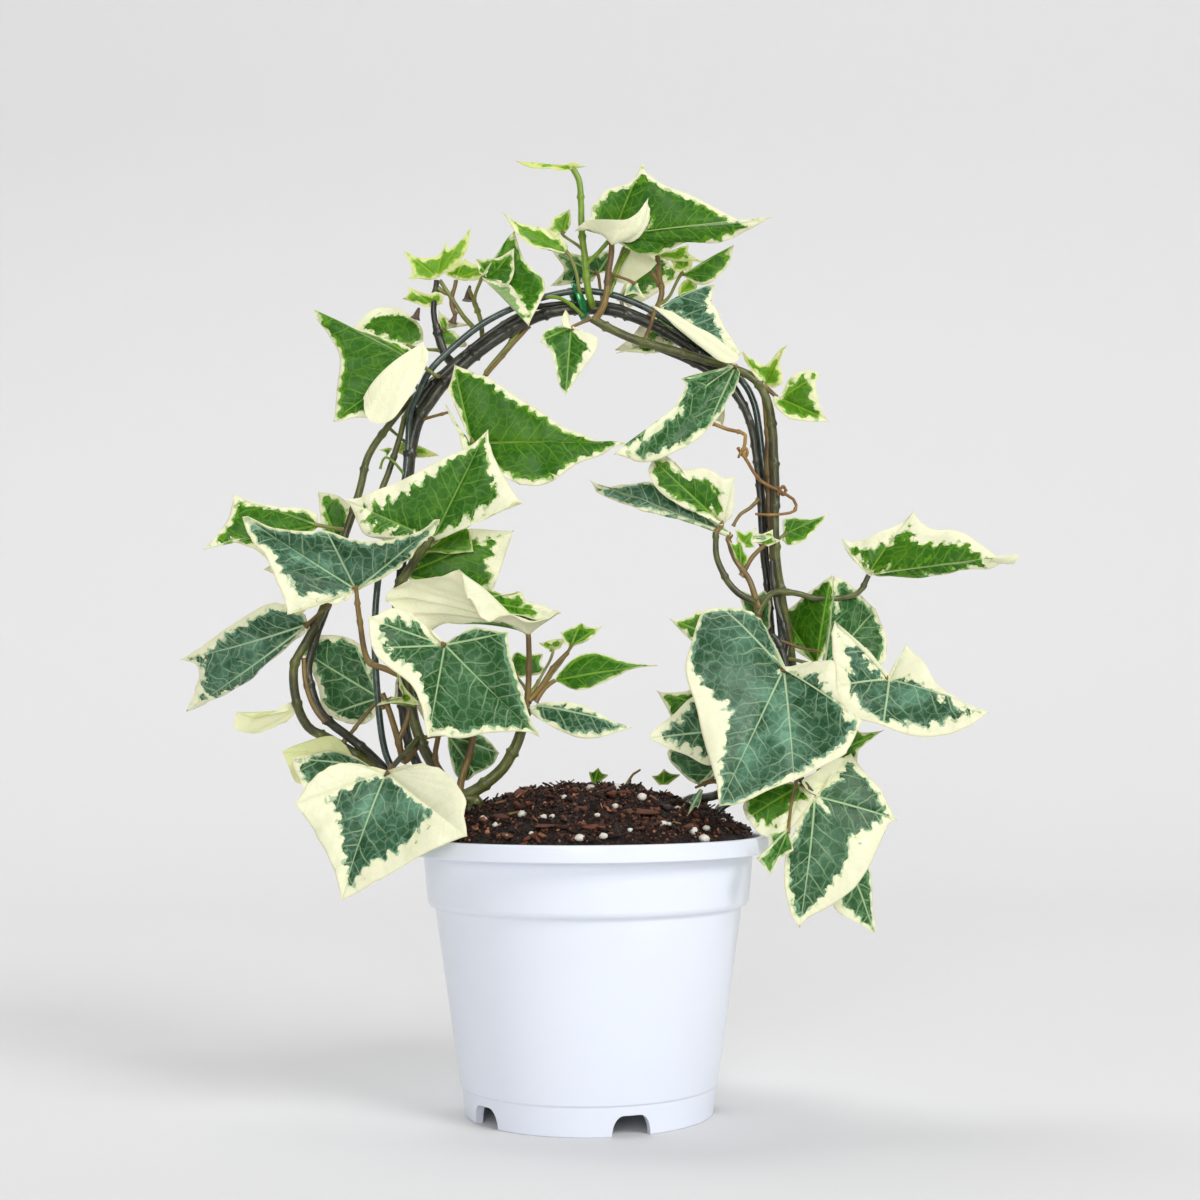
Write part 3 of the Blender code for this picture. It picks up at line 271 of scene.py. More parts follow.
# The darker leafy stem beside the hoop's left leg
INNER_VINE = vine_at("-39 -2", 2.1, "olive",
    stem="-45 103 -3,-50 111 -4,-56 122 -6,-59.5 135 -7,-62 152 -7,-64.5 170 -7,-60 180 -7.5,-52.5 191 -8",
    branches=(
        (1.1, "olive", "-56 124 -6,-60 119 -12,-66 113 -25"),
        (1, "brown", "-58 133 -6,-66 136 -7,-69 133 -9"),
        (1.1, "brown", "-60 143 -7,-68 146 -8,-74 149 -9,-76 158 -10,-77.5 168 -11"),
        (1.2, "brown", "-57 121 -5,-61.5 115 -6,-63.5 122 -8,-66.5 131 -9,-69 138 -9"),
        (0.9, "brown", "-63.3 122.5 -8,-60.5 129.5 -8,-59.5 137 -8"),
        (0.8, "young", "-58 134.3 -10,-63 134.8 -11,-67.5 135.2 -10"),
        (1.7, "dark", "-53 108 1,-58 116 2,-61.5 128 3,-62.5 150 2.5,-63 172 2.5,-62 192 2.5,-60.5 208 2.5,"
         "-59.5 224 2.5,-57 236 2.5,-51 244 2.5,-43 251 2.3,-34 257.5 2,-24 263.5 2,-13 267.3 2,0 268.6 2,"
         "12 267 2.3,23 263 2.5,33 257 2.5,42 250.2 2,49.5 242 2,55 231 2,57.5 220 2,59 205 2,59.8 190 2,"
         "61 172 2,62 156 2"),
        (1.1, "olive", "-70 205 0,-67 213 0.5,-64 223 1,-61 233 1.5,-56 240.5 2"),
        (1.1, "brown", "-45 104 -4,-48 110 -5,-51 116 -6,-50 124 -8"),
    ),
    leaves=(
        leaf_at("-78 173 -12", "-101 165 -25,-116.5 198 -20,-88 192.9 -16,-50 196.2 -25", "-77.5 168 -11",
            "-81 171,-85 169.2,-91 168;-104 174,-105.8 180,-109 186,-113 191;-106 194,-94 193.1;-81 190.2,"
            "-76 189.4,-70 189.3,-64 189.9,-58 192;-52 192.5,-60 184.5,-64 180.5,-67.5 177.9", ribs=(2,),
            tone=0, cream=(6, 0.8, 1, 1.2), tips=(0, 1, 3)),
        leaf_at("-48 154.3 -23",
            "-27 158.5 -24,-16.2 123.3 -34,-53.5 123.5 -34,-72 153.5 -32,-74.2 163.7 -30,-58 164 -25",
            "-55 150 -15,-60.5 145 -8",
            "-44 157.5,-38 160;-25.3 149,-21.5 136,-19.5 129.5;-19.5 124.8,-29 125.2,-40 123.6,-47 123;"
            "-56 134,-57.7 138.7,-60.2 142.2,-70 150.4;-73.5 158.5;-70.5 164.7,-66.5 166.6,-62 166.2;"
            "-54.5 161,-50 155.4", ribs=(3,), tone=0.3, cream=(0.7, 1.2, 3, 5, 4.5, 3), tips=(0, 1, 2, 4)),
        leaf_at("-52 190 -9", "-22 202 -18,-33.4 227.5 -14,-83 204 -15,-77 194.5 -14", "",
            "-42 193,-29 199.3;-29.8 214.6,-31.8 218.8,-32.9 223;-39.5 222,-50 217,-60 211.5,-72 206.4,"
            "-77 204.5;-80.5 202;-75 191.6,-69 189.8,-60 188.6", tone=0.5, cream=(5.5, 1.2, 6.5, 3),
            tips=(0, 1, 2)),
        leaf_at("-62 178 2", "-32 171.5 2,-24.5 193 2,-45 193 4", "-62.5 177 -5",
            "-56 173,-48 171.5,-40 172.3;-28.4 181;-36 193.6;-52 191,-59 186", tone=0.62, cream=(2.5, 7, 4)),
        leaf_at("-55 186 -1", "-38.3 185.7 -2,-40.5 193.5 -1,-48 191 -1", "", "-48 185.1;;;-52 188", tone=1.15,
            cream=0.7, tips=(0,)),
        leaf_at("-67.5 111.5 -28",
            "-80 114.9 -30,-98 101 -36,-82.3 69 -42,-55 84 -48.5,-41 90.5 -52,-41 102 -50,-56 114.3 -38",
            "-66 113 -25",
            "-74.5 113.8;-84 114.4,-88 112.5,-92 109.5,-95.3 105.7;-91.5 91.5,-87.5 85,-85 79;-70 76,"
            "-62.5 80.3;-47.5 87.7;-41.9 98;-42.8 106,-45.8 110,-50.5 112.9;-60.5 114", ribs=(0, 6), tone=0.17,
            cream=(7, 11, 4.5, 6, 16, 15, 7), tips=(1, 2, 4)),
        leaf_at("-62 137 -9", "-64 146 -10,-57 134.5 -16,-71 134 -12", "-60 139 -7", tone=1.4, cream=1.5),
        leaf_at("-47 124 -8", "-44.5 111 -6,-37.5 110.6 -6,-29.7 117.8 -4,-36.5 124.5 -5", "-55 123 -6",
            "-47 120;-41 108.5;-34 112.4,-31 115;-32.5 121.5;-41 126", tone=0.35, cream=0.9, tips=(1, 2)),
        leaf_at("-58 150 4", "-48 146 12,-50 120 24,-66 134 18", "-60.5 150 -6"),
        leaf_at("-52 192 4", "-42 190 12,-40 212 24,-64 206 18", "-53 190 -7", tone=0.4),
    ))

# The short thick green stem that leans out of the soil left of the middle
CENTRE_VINE = vine_at("-37 -14", 2.4, "olive",
    stem="-42.5 103 -14,-36 106.5 -14,-28.5 113 -14,-23 123 -14,-20.5 133 -14",
    branches=(
        (1.1, "brown", "-20.5 132 -14,-19.7 145 -14,-20 158 -16"),
        (1, "brown", "-20 135 -14,-15 141 -12,-11 147 -11,-6.5 151.5 -10"),
        (0.9, "brown", "-17.5 135 -13,-14.5 139.5 -12,-11 142 -11"),
        (1.3, "brown", "-43 104 -12,-42.5 109 -11,-40 117 -10,-38 126 -10"),
    ),
    leaves=(
        leaf_at("-20 158 -16",
            "-8.8 164.8 -22,-17 162.2 -25,-33 162.3 -25,-43.3 179.2 -27,-68 170 -19,-53 160 -13,-40 171 -8,"
            "-22 172 -9,-10 165 -18", "",
            ";-13.5 162.6;-25 164.4,-29 163.8;-35.3 163.6,-40.2 170.5;-50 177.4,-60 175.5,-65.5 173.8;"
            "-62 164.6;-46 165;-33 171.8,-28.5 170.2,-25 170.3;-20.5 169.2,-15 167.5;", arch=-0.1, tone=0.7,
            cream=(3, 9, 16, 18, 18, 6, 3, 3, 3), tips=(0, 3, 7), under=True),
        leaf_at("-40 170 -13", "-32.7 173.8 -12,-22.4 172.2 -12,-8.8 165 -17,-16 162.9 -17,-33 163.2 -16", "",
            "-38.5 172.6;-29 171.6,-25 171.2;-20.5 169.2;;-24.5 164.2;-37 166", tone=0.6,
            cream=(0.8, 1, 2.6, 1.2, 0.6), tips=(0, 1, 2)),
        leaf_at("-17.5 134 -14", "-15.5 128.6 -18,-4.5 123.4 -22,15.2 126.3 -22,-4 134.5 -17", "",
            "-20 133.2,-18.7 131.2;-8.5 124.9;5 123.1;9 128.2;-13 135.1", cream=(2.6, 1.5, 1.8, 2.8),
            tips=(2,)),
        leaf_at("-11 142 -11", "-3 138.7 -14,23.7 147.1 -16,1 151.4 -10", "",
            "-6 139.2;1 139.3,11 143.9,15 145.6;15 148,5 151;-3 150.4,-6.5 148,-9.8 144.5", tone=0.95,
            cream=0.7, tips=(1,)),
        leaf_at("-5.5 153.5 -10", "1 156 -12,4.8 160.4 -11,-2 161.6 -9,-9.3 158.3 -9",
            "-9 148 -10,-15 140.5 -12", "-2.5 154.2;;0.5 160;;-7.7 154.3", tone=1.1, cream=0.9, tips=(1, 2, 3)),
        leaf_at("-11.5 152 -6", "-8 156 -7,-16.6 154.6 -6", "-14 146 -10,-19 138 -13", "-9 153;;-14 152.7",
            tone=1.4, cream=0.9, tips=(1,)),
        leaf_at("-24 144 -6", "-14 145.5 -5,-15 151 -4,-24 151.6 -4", "-20.5 139 -13", tone=0.95, cream=0.9,
            tips=()),
    ))

# The leafy stem that climbs the hoop's right leg and comes over the top from the right
RIGHT_VINE = vine_at("45 11", 1.5, "olive",
    stem="52 105 10,58 117 8,63 130 5.5,68.5 142 3,68 155 -1,65.5 170 -4,63.5 190 -4.5,64 205 -4.5,"
    "63.5 220 -4.5,62 235 -4.5,57.5 244 -4.8,50 248 -5,42 250.5 -5,30 254 -5,18 257.5 -5,8 262 -5,2 265.5 -5.5",
    branches=(
        (1.2, "brown", "3 265 -5.5,6 270 -7,7.5 279 -7.5,8.6 287 -7.5,9 293.5 -7"),
        (0.9, "brown", "57.5 244 -4.8,61 241.5 -5,65 238 -5"),
        (1.2, "brown", "60.5 240 -3,61.5 228 -2.5,61.5 212 -2,61.8 198 -2,63 182 -1.5,64.5 165 0,65.5 150 2"),
        (1.3, "dark", "24 255.5 -2,33 251.5 -2,42 247 -2,49 241 -2,54.5 232.5 -1.5,57 222 -1,58.5 206 -1,"
         "59 192 -1,60.5 175 0,62 158 1"),
        (0.8, "young", "8.5 293 -6.5,4.5 288.5 -5.5,0.5 284.5 -4.5,-0.5 279 -4"),
        (0.9, "young", "14.5 289 1,11.5 284 -1,9.8 278.5 -3,8 274 -5"),
    ),
    leaves=(
        leaf_at("9.5 294 -7",
            "16.5 288.6 -6,32 290.3 -8,64.3 300.6 -16,19.5 320 -11,2 304.5 -10,-3.3 297.3 -11,12 299.6 -17,"
            "21.7 307.5 -16", "",
            "10.8 292;20 287.2,25 287.4;44 291.5,50 292.9,60 298.2;59.5 299.2,55 299,50.5 300.5,41 306.3,"
            "35 309.2,29 311,25 313,21.5 316.2;18.4 316.4,16.5 313.5,13.5 311.9,6.5 310,4.3 306.6;1.9 302;"
            "0.5 299.9;16.5 301.2,19.6 304;22.3 303.5,21.6 299.5,19 296.4",
            curls={6: (7, 285, -14), 7: (19, 290, -14)}, tone=0.85, cream=(1, 1.2, 2, 1.8, 1.8, 3, 20, 20),
            tips=(2, 3, 5, 7)),
        leaf_at("13 290.5 1", "10.5 278.5 3,15 277.4 3,24.3 284.5 1", "9.5 281 -3,7.6 277 -7",
            "10.8 285;12.5 277.6;22.3 282.2;22 287", tone=1.3, cream=9, tips=(2,), under=True),
        leaf_at("16 278 -3", "13 273 -2.5,21 271.5 -3,18 277.5 -3", "8 281 -7", tone=0.3, cream=1.2),
        leaf_at("24 269 -7", "48.5 250 -13,53 253.6 -14,44.3 268.8 -8,44.6 278 -3,32.5 273.2 -4",
            "22 263 -6.5,20 257.3 -5",
            "32 262.4,43 252.8;51.3 251.2;47.7 262;42.9 269.6,43.8 276;42 276.6,35.3 274.9;31 271.6", tone=0.08,
            cream=(3.5, 4, 3.2, 0.8, 0.9), tips=(1, 3)),
        leaf_at("23 269.5 -10", "48.5 249.7 -15.5,52 251.5 -15.5", "",
            "33 260.5,44 251.6;51 250;40.5 260.8,28.5 267.6", tone=0.4, cream=12, tips=(), under=True),
        leaf_at("-5 262.5 -7", "-15.8 257.5 -9,-7 238.8 -10,4 257.5 -10", "1.5 265.5 -5.5",
            "-8.5 263,-12 262.4,-14.6 260.6;-13.4 255.8,-11.6 252.8,-9.6 244,-8.3 240.6;-1.5 247.4,3.3 254.2;"
            "3.6 259.3,-2.5 261.2", tone=0.5, cream=(1.3, 0.8, 5.5), tips=(0, 1)),
        leaf_at("-5 262 -9", "-7.8 262.6 -10,-7 268.6 -10", "", ";-8.4 265.2;-5.8 266.8", tone=0.6, cream=9,
            tips=(1,)),
        leaf_at("23 255.5 -2", "15 257 -1,9.5 253.5 -2,20 252.8 -3", "25 255 -4.5", tone=0.8, cream=1.5),
        leaf_at("60.5 242 -5", "66.7 243.3 -9,68.7 256 -10,60.5 249 -6,53 253.9 -8", "",
            "62.5 241.5,65 241.6;65.8 249.8,66.7 253;66 254.4,62.3 250;;54 250.7,56 247.8,60 243.8", tone=1.5,
            cream=0.8, tips=(1, 3)),
        leaf_at("66 237.5 -5", "67.5 231.9 -10,82.6 229.6 -9,79.8 246 -9,68.5 243.5 -6", "",
            "64 238.6,64 236,65.4 233.7;70.5 230.4,79 229.4;80.8 232,79.4 235,78.1 241.5,78.3 244;77.5 247.1,"
            "74.5 247.2,71.2 246.2;66.8 239.4", tone=1.25, cream=(1.2, 2.2, 2.6, 1.2), tips=(1, 2)),
        leaf_at("51 249 -7",
            "32.3 245 -12,31.5 237.5 -15,9 218.7 -20,22.5 216.2 -21,41.3 227.6 -17,50.5 240.5 -13",
            "49.8 248.1 -5",
            "48.5 249.2,41.5 245.2,37.5 244.3,34.5 244.3;33.7 241.4;29.5 233.5,23 227.7,20 224,17 221.3,"
            "13 219.4;16 216.6;31 219.8,36 222.8;46.8 233.6,48.5 237.5;52 244,52.3 246.5", ribs=(4,), tone=0.32,
            cream=(0.8, 1.1, 2, 2.4, 1.2, 0.7), tips=(0, 2)),
        leaf_at("66.5 191 -2", "71 187.8 0,82.3 198.2 2,67 196.6 3", "64 189 -4",
            "66 189,68 187.3;74.5 189.7;79 196.8,75.5 196.1;66 194", tone=1.05, cream=1, tips=(1,)),
        leaf_at("44 242 8", "46 228 16,26 222 26,34 240 20", "46 247 2,46 249.3 -5", tone=0.6),
    ), taper=1)

# The shorter leafy stem half way up the hoop's right leg
RIGHT_LEG_VINE = vine_at("39 -1", 1.4, "brown",
    stem="47 104 -3,54 113 -5,59 127 -6,60 143 -7,58.5 157 -8,57 168 -9",
    branches=(
        (1.2, "olive", "57 168 -9,49 173 -9,44 183 -9,43.5 192 -9"),
        (1.1, "brown", "58 166 -9,55 175 -8.5,50 183 -8,47.5 190 -8"),
        (0.9, "brown", "52 177 -8.3,56 184 -8,60 187.5 -8"),
        (1.1, "olive", "57.5 164 -9,62 171 -9,70 171 -8,80 169 -6,91 171 -4,95 177 -4"),
        (0.7, "brown", "58 203 -3,55 200 -5,52 198 -7,49.5 194 -7.5"),
    ),
    leaves=(
        leaf_at("46 194.5 -10", "50 211.3 -15,39.5 213.8 -14,22.3 217 -14,28.5 202.8 -13", "43.5 192 -9",
            "49 197,50 201;46 210.4,43.5 212.3;32 213.4,28.5 217.2,25 218.5;21 214,21.2 211,23 207.8,25.5 205;"
            "38 198.6,42.5 197", tone=0.55, cream=(8, 5, 1.6, 2.4), tips=(0, 2)),
        leaf_at("49 190.5 -7.5", "23 208.4 -6,1 209.8 -8,18 199.8 -9", "47.5 190 -8",
            "46 193.6,34 200.4;12 208.4,8 207.5,4.5 207.7;3 206.2,6.5 203.8;24 199,37 195", tone=0.12,
            cream=(1.4, 1.2, 1.2), tips=(1,)),
        leaf_at("60 187.5 -8", "66 189 -9,63 193 -9,54 192.5 -8", tone=1, cream=1),
        leaf_at("50.5 190 -9", "63 190.3 -9,53 188.3 -9", "", "56 191.8;60 188.7;50.5 188.6", cream=1.3,
            tips=(0,)),
        leaf_at("52 180 -8", "55 184 -9,51.5 193.5 -9,48 189 -10", tone=1.1, cream=0.7),
        leaf_at("53 188 -9", "57 186.5 -9,57.5 193.5 -9,50 193 -10", tone=1.2, cream=0.7),
        leaf_at("95 177.5 -4", "113 175.9 -8,146.6 184 -24,110.5 199.3 -6,85.8 189.6 -1", "",
            "98 176.5,105 176;119 176.3,127 177.7,135 178.6,141 180.6;145 182.8,142 182.7,139 183.3,129 190.6,"
            "125 191.9,116 193.1,113.5 195.1;101 192.5,93 188.8,89.5 188.7;87 186,88.7 183,91.5 180", tone=0.7,
            cream=(0.8, 4.5, 6.5, 3.4), tips=(1, 2, 3)),
        leaf_at("77 147 -3", "81.5 157 -3,82.6 177.2 -8,66.4 164.7 5", "68 149 -6,60 149 -7.5",
            "80 151;83.3 170;75 171.5;66.6 159,69.5 152", tone=0.7, cream=(1.2, 1.2, 1.4), tips=(1, 2)),
        leaf_at("79 146 -1", "100.3 148 1,97 165.6 5,83 176.8 -7,82 158 -1", "",
            "87 144.5,95 145.5;100.9 152,100.3 157,99 161.5;90 173.2,86 175.9;83.6 170;80.5 151", tone=0.35,
            cream=(1.8, 1.8, 1.4, 1), tips=(1, 2)),
        leaf_at("60 158 -4", "54 160 -2,51.5 172 0,60 172 -2", tone=0.4, cream=1, tips=()),
    ))

# The leafy stem with the large leaves over the pot's right edge
LOW_RIGHT_VINE = vine_at("33 -12", 1.6, "dark",
    stem="42 103 -14,50 108 -16,60 117 -17,67 130 -16,67 143 -15,65 153 -14,62 157 -14",
    branches=(
        (1.2, "brown", "67 143 -15,78 146 -13,90 144 -13,101 142.5 -14"),
        (1.1, "olive", "60 117 -17,68 112 -19,76 103 -23"),
        (1, "olive", "62 120 -17,72 119 -13,82 117 -11"),
        (0.9, "brown", "52 109 -16,48 117 -16,46 127 -16"),
        (0.6, "brown", "62 156 -14,67 154.3 -13,73 152.3 -12,78.5 151.3 -10"),
        (1.1, "dark", "66 148 -14,67.5 153 -12,66 160 -9,63.5 170 -7,62.5 182 -6"),
        (0.8, "brown", "38.5 107 -16,42 109.5 -16,45 113 -16"),
    ),
    leaves=(
        leaf_at("66 145.5 -19",
            "59.5 160.5 -22,45 166.8 -26,34.3 152.5 -29,39.2 122.5 -36,43.8 99.7 -42,69 108.3 -40,"
            "92.3 128 -36,83 147.8 -26", "67 143 -15",
            "60.4 152,61.2 155,60.9 158;57 163,53 165.3,49 166.5;41.5 166.2,38.6 164.5,36.9 161;33 148,"
            "33.2 143.5,36.5 133.5;42.5 108.5;48 100.2,54 102,61 105;79 113.2,83.5 115.3,87.3 118;88.5 130,"
            "85.6 134,83.5 139.5;79.5 148.3,75.5 147.6,71.5 145.7,68.5 144.9", ribs=(0, 5), tone=0.15,
            cream=(0.6, 1.2, 0.8, 9.5, 0.6, 2.2, 3, 8), tips=(1, 4, 6)),
        leaf_at("101.5 142 -14", "83.4 161.7 -20,83.4 139.5 -24,99 126.2 -28,134.8 130.8 -28,107.3 154.2 -10",
            "", "94 152.5,91 155,87 157.3;82.5 158,83.2 146;84 135.5,86.5 131.8,90 129.7;104 124.5,110 123.5,"
            "116 123.2,122 123.8,127 125.5,131 127.7;125 135,121 137.3,117.5 141,111 150;103.4 147.5",
            ribs=(1, 2), tone=0.05, cream=(3.6, 6.5, 3.2, 4.5, 11), tips=(0, 3, 4)),
        leaf_at("46 155 -16", "38 165.4 -14,27.3 162.8 -13,34.5 155.5 -15", "62.8 155.8 -14",
            "43 161;35.5 163.6,32 162.5;;40 152.5", tone=0.75, cream=1.4, tips=(1,)),
        leaf_at("47 130 -17", "36.5 139 -15,23 138.6 -15,30 127 -17", "46 127 -16",
            "43 136;32 138,27 138;27.2 131;38 124", tone=0.6, cream=1.6, tips=(1,)),
        leaf_at("46 125 -18", "37 137 -20,20.6 122.5 -24,41 113.5 -24", "46 127 -16",
            "43 133;28 129.8,21 124.2;27 119.2,33 116.9;44.5 118", cream=(2.4, 3.6, 3.4), tips=(1,)),
        leaf_at("46 116.5 -17", "38 119.5 -18,27 118.5 -18,37 106.8 -16", "48 117 -16",
            "43 119.5;32 119.5;26.9 116,28.4 113.6,34.3 107.9;40.5 108.5,43.5 111.5", tone=0.3, cream=1,
            tips=(2,)),
        leaf_at("72 107 -20", "52.3 101 -25,53 95.5 -27,64.5 88 -28,75.8 102.8 -24", "68 112 -19",
            "65 108,57 105.5;51.8 98.5;56 91.8,58.7 89.7;73.2 99;75 105", tone=0.95, cream=(1.2, 3, 6.5, 2),
            tips=(1, 2)),
        leaf_at("76 103 -23",
            "69 91.5 -28,65.3 76.5 -31,70.3 59.3 -30,93.5 79.5 -26,103.4 95 -20,88.5 117.6 -15", "",
            "70.7 95;66.8 87.5,65.6 82;66.6 67,68.3 62;73.5 62.6,79 65.4,84 68.7,89 73;100.4 92.8;98.5 104.3,"
            "94.5 109.5;86 116,79.5 107.5", ribs=(0,), tone=0.25, cream=(1.4, 1.6, 2, 9.5, 3, 2.6),
            tips=(2, 4, 5)),
        leaf_at("80 107 -18", "85 115.8 -20,71.5 108 -22,75.5 103.5 -24", "",
            "83.5 112;76 110.8;72.6 105.5;77 104.5", tone=0.8, cream=9, tips=(), under=True),
        leaf_at("84 88 -12", "81.8 66 -15,95.3 57.2 -14,94 78 -12", "80 100 -12,77 112 -12,73.5 118.8 -12.6",
            "80 77;90 60.6;94.8 70;90 86", tone=0.3, cream=(4, 1.2, 1), tips=(1,)),
        leaf_at("67 92 -36", "56 82.4 -40,60.6 76.8 -40,68.5 85 -39", "68 100 -30,70 110 -20.5",
            "60.5 90.5,60.3 85.6;;63 81.6;", tone=0.45, cream=0.8, tips=(0, 1)),
        leaf_at("82 117 -11", "91 113.5 -11,100.5 125.3 -11,90 129 -11", tone=0.55, cream=1.2),
        leaf_at("74 138 4", "66 124 12,82 110 24,92 130 16", "70 140 -8,67 141 -15", tone=0.3),
    ))

VINES = {"outer_vine": OUTER_VINE, "inner_vine": INNER_VINE, "centre_vine": CENTRE_VINE,
         "right_vine": RIGHT_VINE, "right_leg_vine": RIGHT_LEG_VINE, "low_right_vine": LOW_RIGHT_VINE}

TENDRIL_ROUTE = spots("43 229 -10,48 227 -10,54 225 -9,53 219 -8.5,55 215 -8,59 209.5 -7.2,65 206 -7,"
    "70 203 -6,70.5 199 -5.9,64 197.8 -6.75,57 198 -7.2")
# Knots as x, z, y and size
TENDRIL_KNOTS = spots("53 219 -8.5 1.5,66 205.9 -7 1.4")

# Small things that lie in the soil: chips as x, z, length, width, height, turn; twigs; sprouts
CHIP_SPOTS = spots("17 98 13 6 2.2 0.3,-5 109.5 10 7 5 0.1,-14 93.5 7 5 1.2 0.6,34 93 8 3 2 1,"
    "-30 96 8 4 2.5 -0.5,2 93 7 3.5 2 -0.2,-22 104 8 4 3 0.7,28 104 7 4 3 -0.6,-38 101 7 4 3 0.2,"
    "46 98 7 4 3 0.9,8 104 6 3 2.4 1.3,-2 99 6 2.6 2 0.4")
# Beads of perlite as x, z and width
PERLITE_SPOTS = spots("-35 96 2.6,-31 94 2,-22 97.5 3,-15 96.5 2.4,-12 96.5 2,-3 89.5 3,5 90 2.6,1 106 3,"
    "10 106 3.4,18 103 3,9 100 2,25 94 2.6,26.5 94 2,35 91.5 3,39.5 92.5 2.6,38.5 89 3.6,-44 92 2.4,"
    "-27 90 1.8,-8 103 2,30 99 2.2,14 92 1.6,-19 91 1.6,45 95 2,3 97 1.8")
SOIL_TWIGS = (
    (0.7, "43 108 -16,40 107.6 -17,36 106 -20"),
    (0.6, "13 107 8,15 110.5 10,17.5 112 11"),
    (0.5, "-28 97 -30,-22 98.4 -31,-17 97.4 -32"),
    (0.5, "20 93.4 -38,26 94.8 -37,31 94 -37"),
)
SPROUTS = (
    leaf_at("2 107.5 12", "0.5 111.5 11,3.5 113 12,6.8 110.5 11", sinuses=(0.1, 0.1), tone=1, cream=0.4),
    leaf_at("25 107 12", "21.5 110 11,25.5 112.5 12,31 110.5 11", sinuses=(0.1, 0.1), tone=0.9, cream=0.5),
    leaf_at("38 105.5 -20", "33.4 101 -23,33.3 96.8 -26,36.6 99 -25", tone=0.05, cream=0.3, tips=(1,)),
)


# Node helpers

class Socket:
    """A node's output, whose sums and products are made as Math nodes in the same tree."""

    def __init__(self, output):
        self.output = output
        self.tree = output.id_data

    def sibling(self, name):
        """Another output of the same node."""
        return Socket(self.output.node.outputs[name])

    def feed(self, node, name):
        """Links the value to a node's input."""
        self.tree.links.new(self.output, node.inputs[name])

    def calc(self, operation, *others, clamp=False):
        """The result of one Math node that has this as its first value."""
        return place(self.tree, "ShaderNodeMath", dict(enumerate((self, *others))),
                     operation=operation, use_clamp=clamp)

    def __add__(self, other):
        return self.calc("ADD", other)

    def __sub__(self, other):
        return self.calc("SUBTRACT", other)

    def __rsub__(self, other):
        return place(self.tree, "ShaderNodeMath", {0: other, 1: self}, operation="SUBTRACT")

    def __mul__(self, other):
        return self.calc("MULTIPLY", other)

    def __truediv__(self, other):
        return self.calc("DIVIDE", other)


def place(tree, kind, inputs=None, out=0, **settings):
    """One output of a new node, with its settings made and its inputs linked or set by name or number."""
    node = tree.nodes.new(kind)
    for name, value in settings.items():
        setattr(node, name, value)
    for key, value in (inputs or {}).items():
        if isinstance(value, Socket):
            value.feed(node, key)
        else:
            node.inputs[key].default_value = value
    return Socket(node.outputs[out])


def parts(vector):
    """The three parts of a vector."""
    first = place(vector.tree, "ShaderNodeSeparateXYZ", {0: vector})
    return [first.sibling(i) for i in range(3)]


def vector_of(tree, *values):
    return place(tree, "ShaderNodeCombineXYZ", dict(enumerate(values)))


def step_up(value, low, high, to_low=0.0, to_high=1.0):
    """A smooth rise from to_low to to_high while the value goes from low to high."""
    inputs = {"Value": value, "From Min": low, "From Max": high, "To Min": to_low, "To Max": to_high}
    return place(value.tree, "ShaderNodeMapRange", inputs, interpolation_type="SMOOTHSTEP")


def blend(factor, first, second):
    """The colour of one Mix node."""
    return place(factor.tree, "ShaderNodeMix", {0: factor, 6: first, 7: second}, 2, data_type="RGBA")


def fine_noise(vector, scale, detail=3.0, roughness=0.55, out="Fac"):
    inputs = {"Vector": vector, "Scale": scale, "Detail": detail, "Roughness": roughness}
    return place(vector.tree, "ShaderNodeTexNoise", inputs, out)


def cells(vector, scale, out="Distance", **settings):
    """Small random cells: the distance to the nearest cell's centre, in cells, or another output."""
    return place(vector.tree, "ShaderNodeTexVoronoi", {"Vector": vector, "Scale": scale}, out, **settings)


def cell_value(vector, scale):
    """A random number from 0 to 1 that is the same all over each small cell."""
    colour = cells(vector, scale, "Color")
    return place(vector.tree, "ShaderNodeSeparateColor", {0: colour})


def cell_border(vector, scale):
    """The distance to the nearest border between cells, in cells."""
    return cells(vector, scale, feature="DISTANCE_TO_EDGE")


def object_place(tree):
    return place(tree, "ShaderNodeTexCoord", out="Object")


def attribute(tree, name, out="Vector"):
    return place(tree, "ShaderNodeAttribute", out=out, attribute_name=name)


def new_group(name, kind, inputs, outputs):
    """A node group with its sockets made, its inputs' values by name, and its output node."""
    tree = bpy.data.node_groups.new(name, kind)
    for label, (socket, default) in inputs.items():
        made = tree.interface.new_socket(name=label, in_out="INPUT", socket_type="NodeSocket" + socket)
        if default is not None:
            made.default_value = default
    for label, socket in outputs.items():
        tree.interface.new_socket(name=label, in_out="OUTPUT", socket_type="NodeSocket" + socket)
    given = tree.nodes.new("NodeGroupInput").outputs
    return tree, {label: Socket(given[label]) for label in inputs}, tree.nodes.new("NodeGroupOutput")


def made_once(blocks, name, maker, *values):
    """The material or node group of that name, which maker makes the first time."""
    return blocks.get(name) or maker(name, *values)


# Shader groups that several materials use

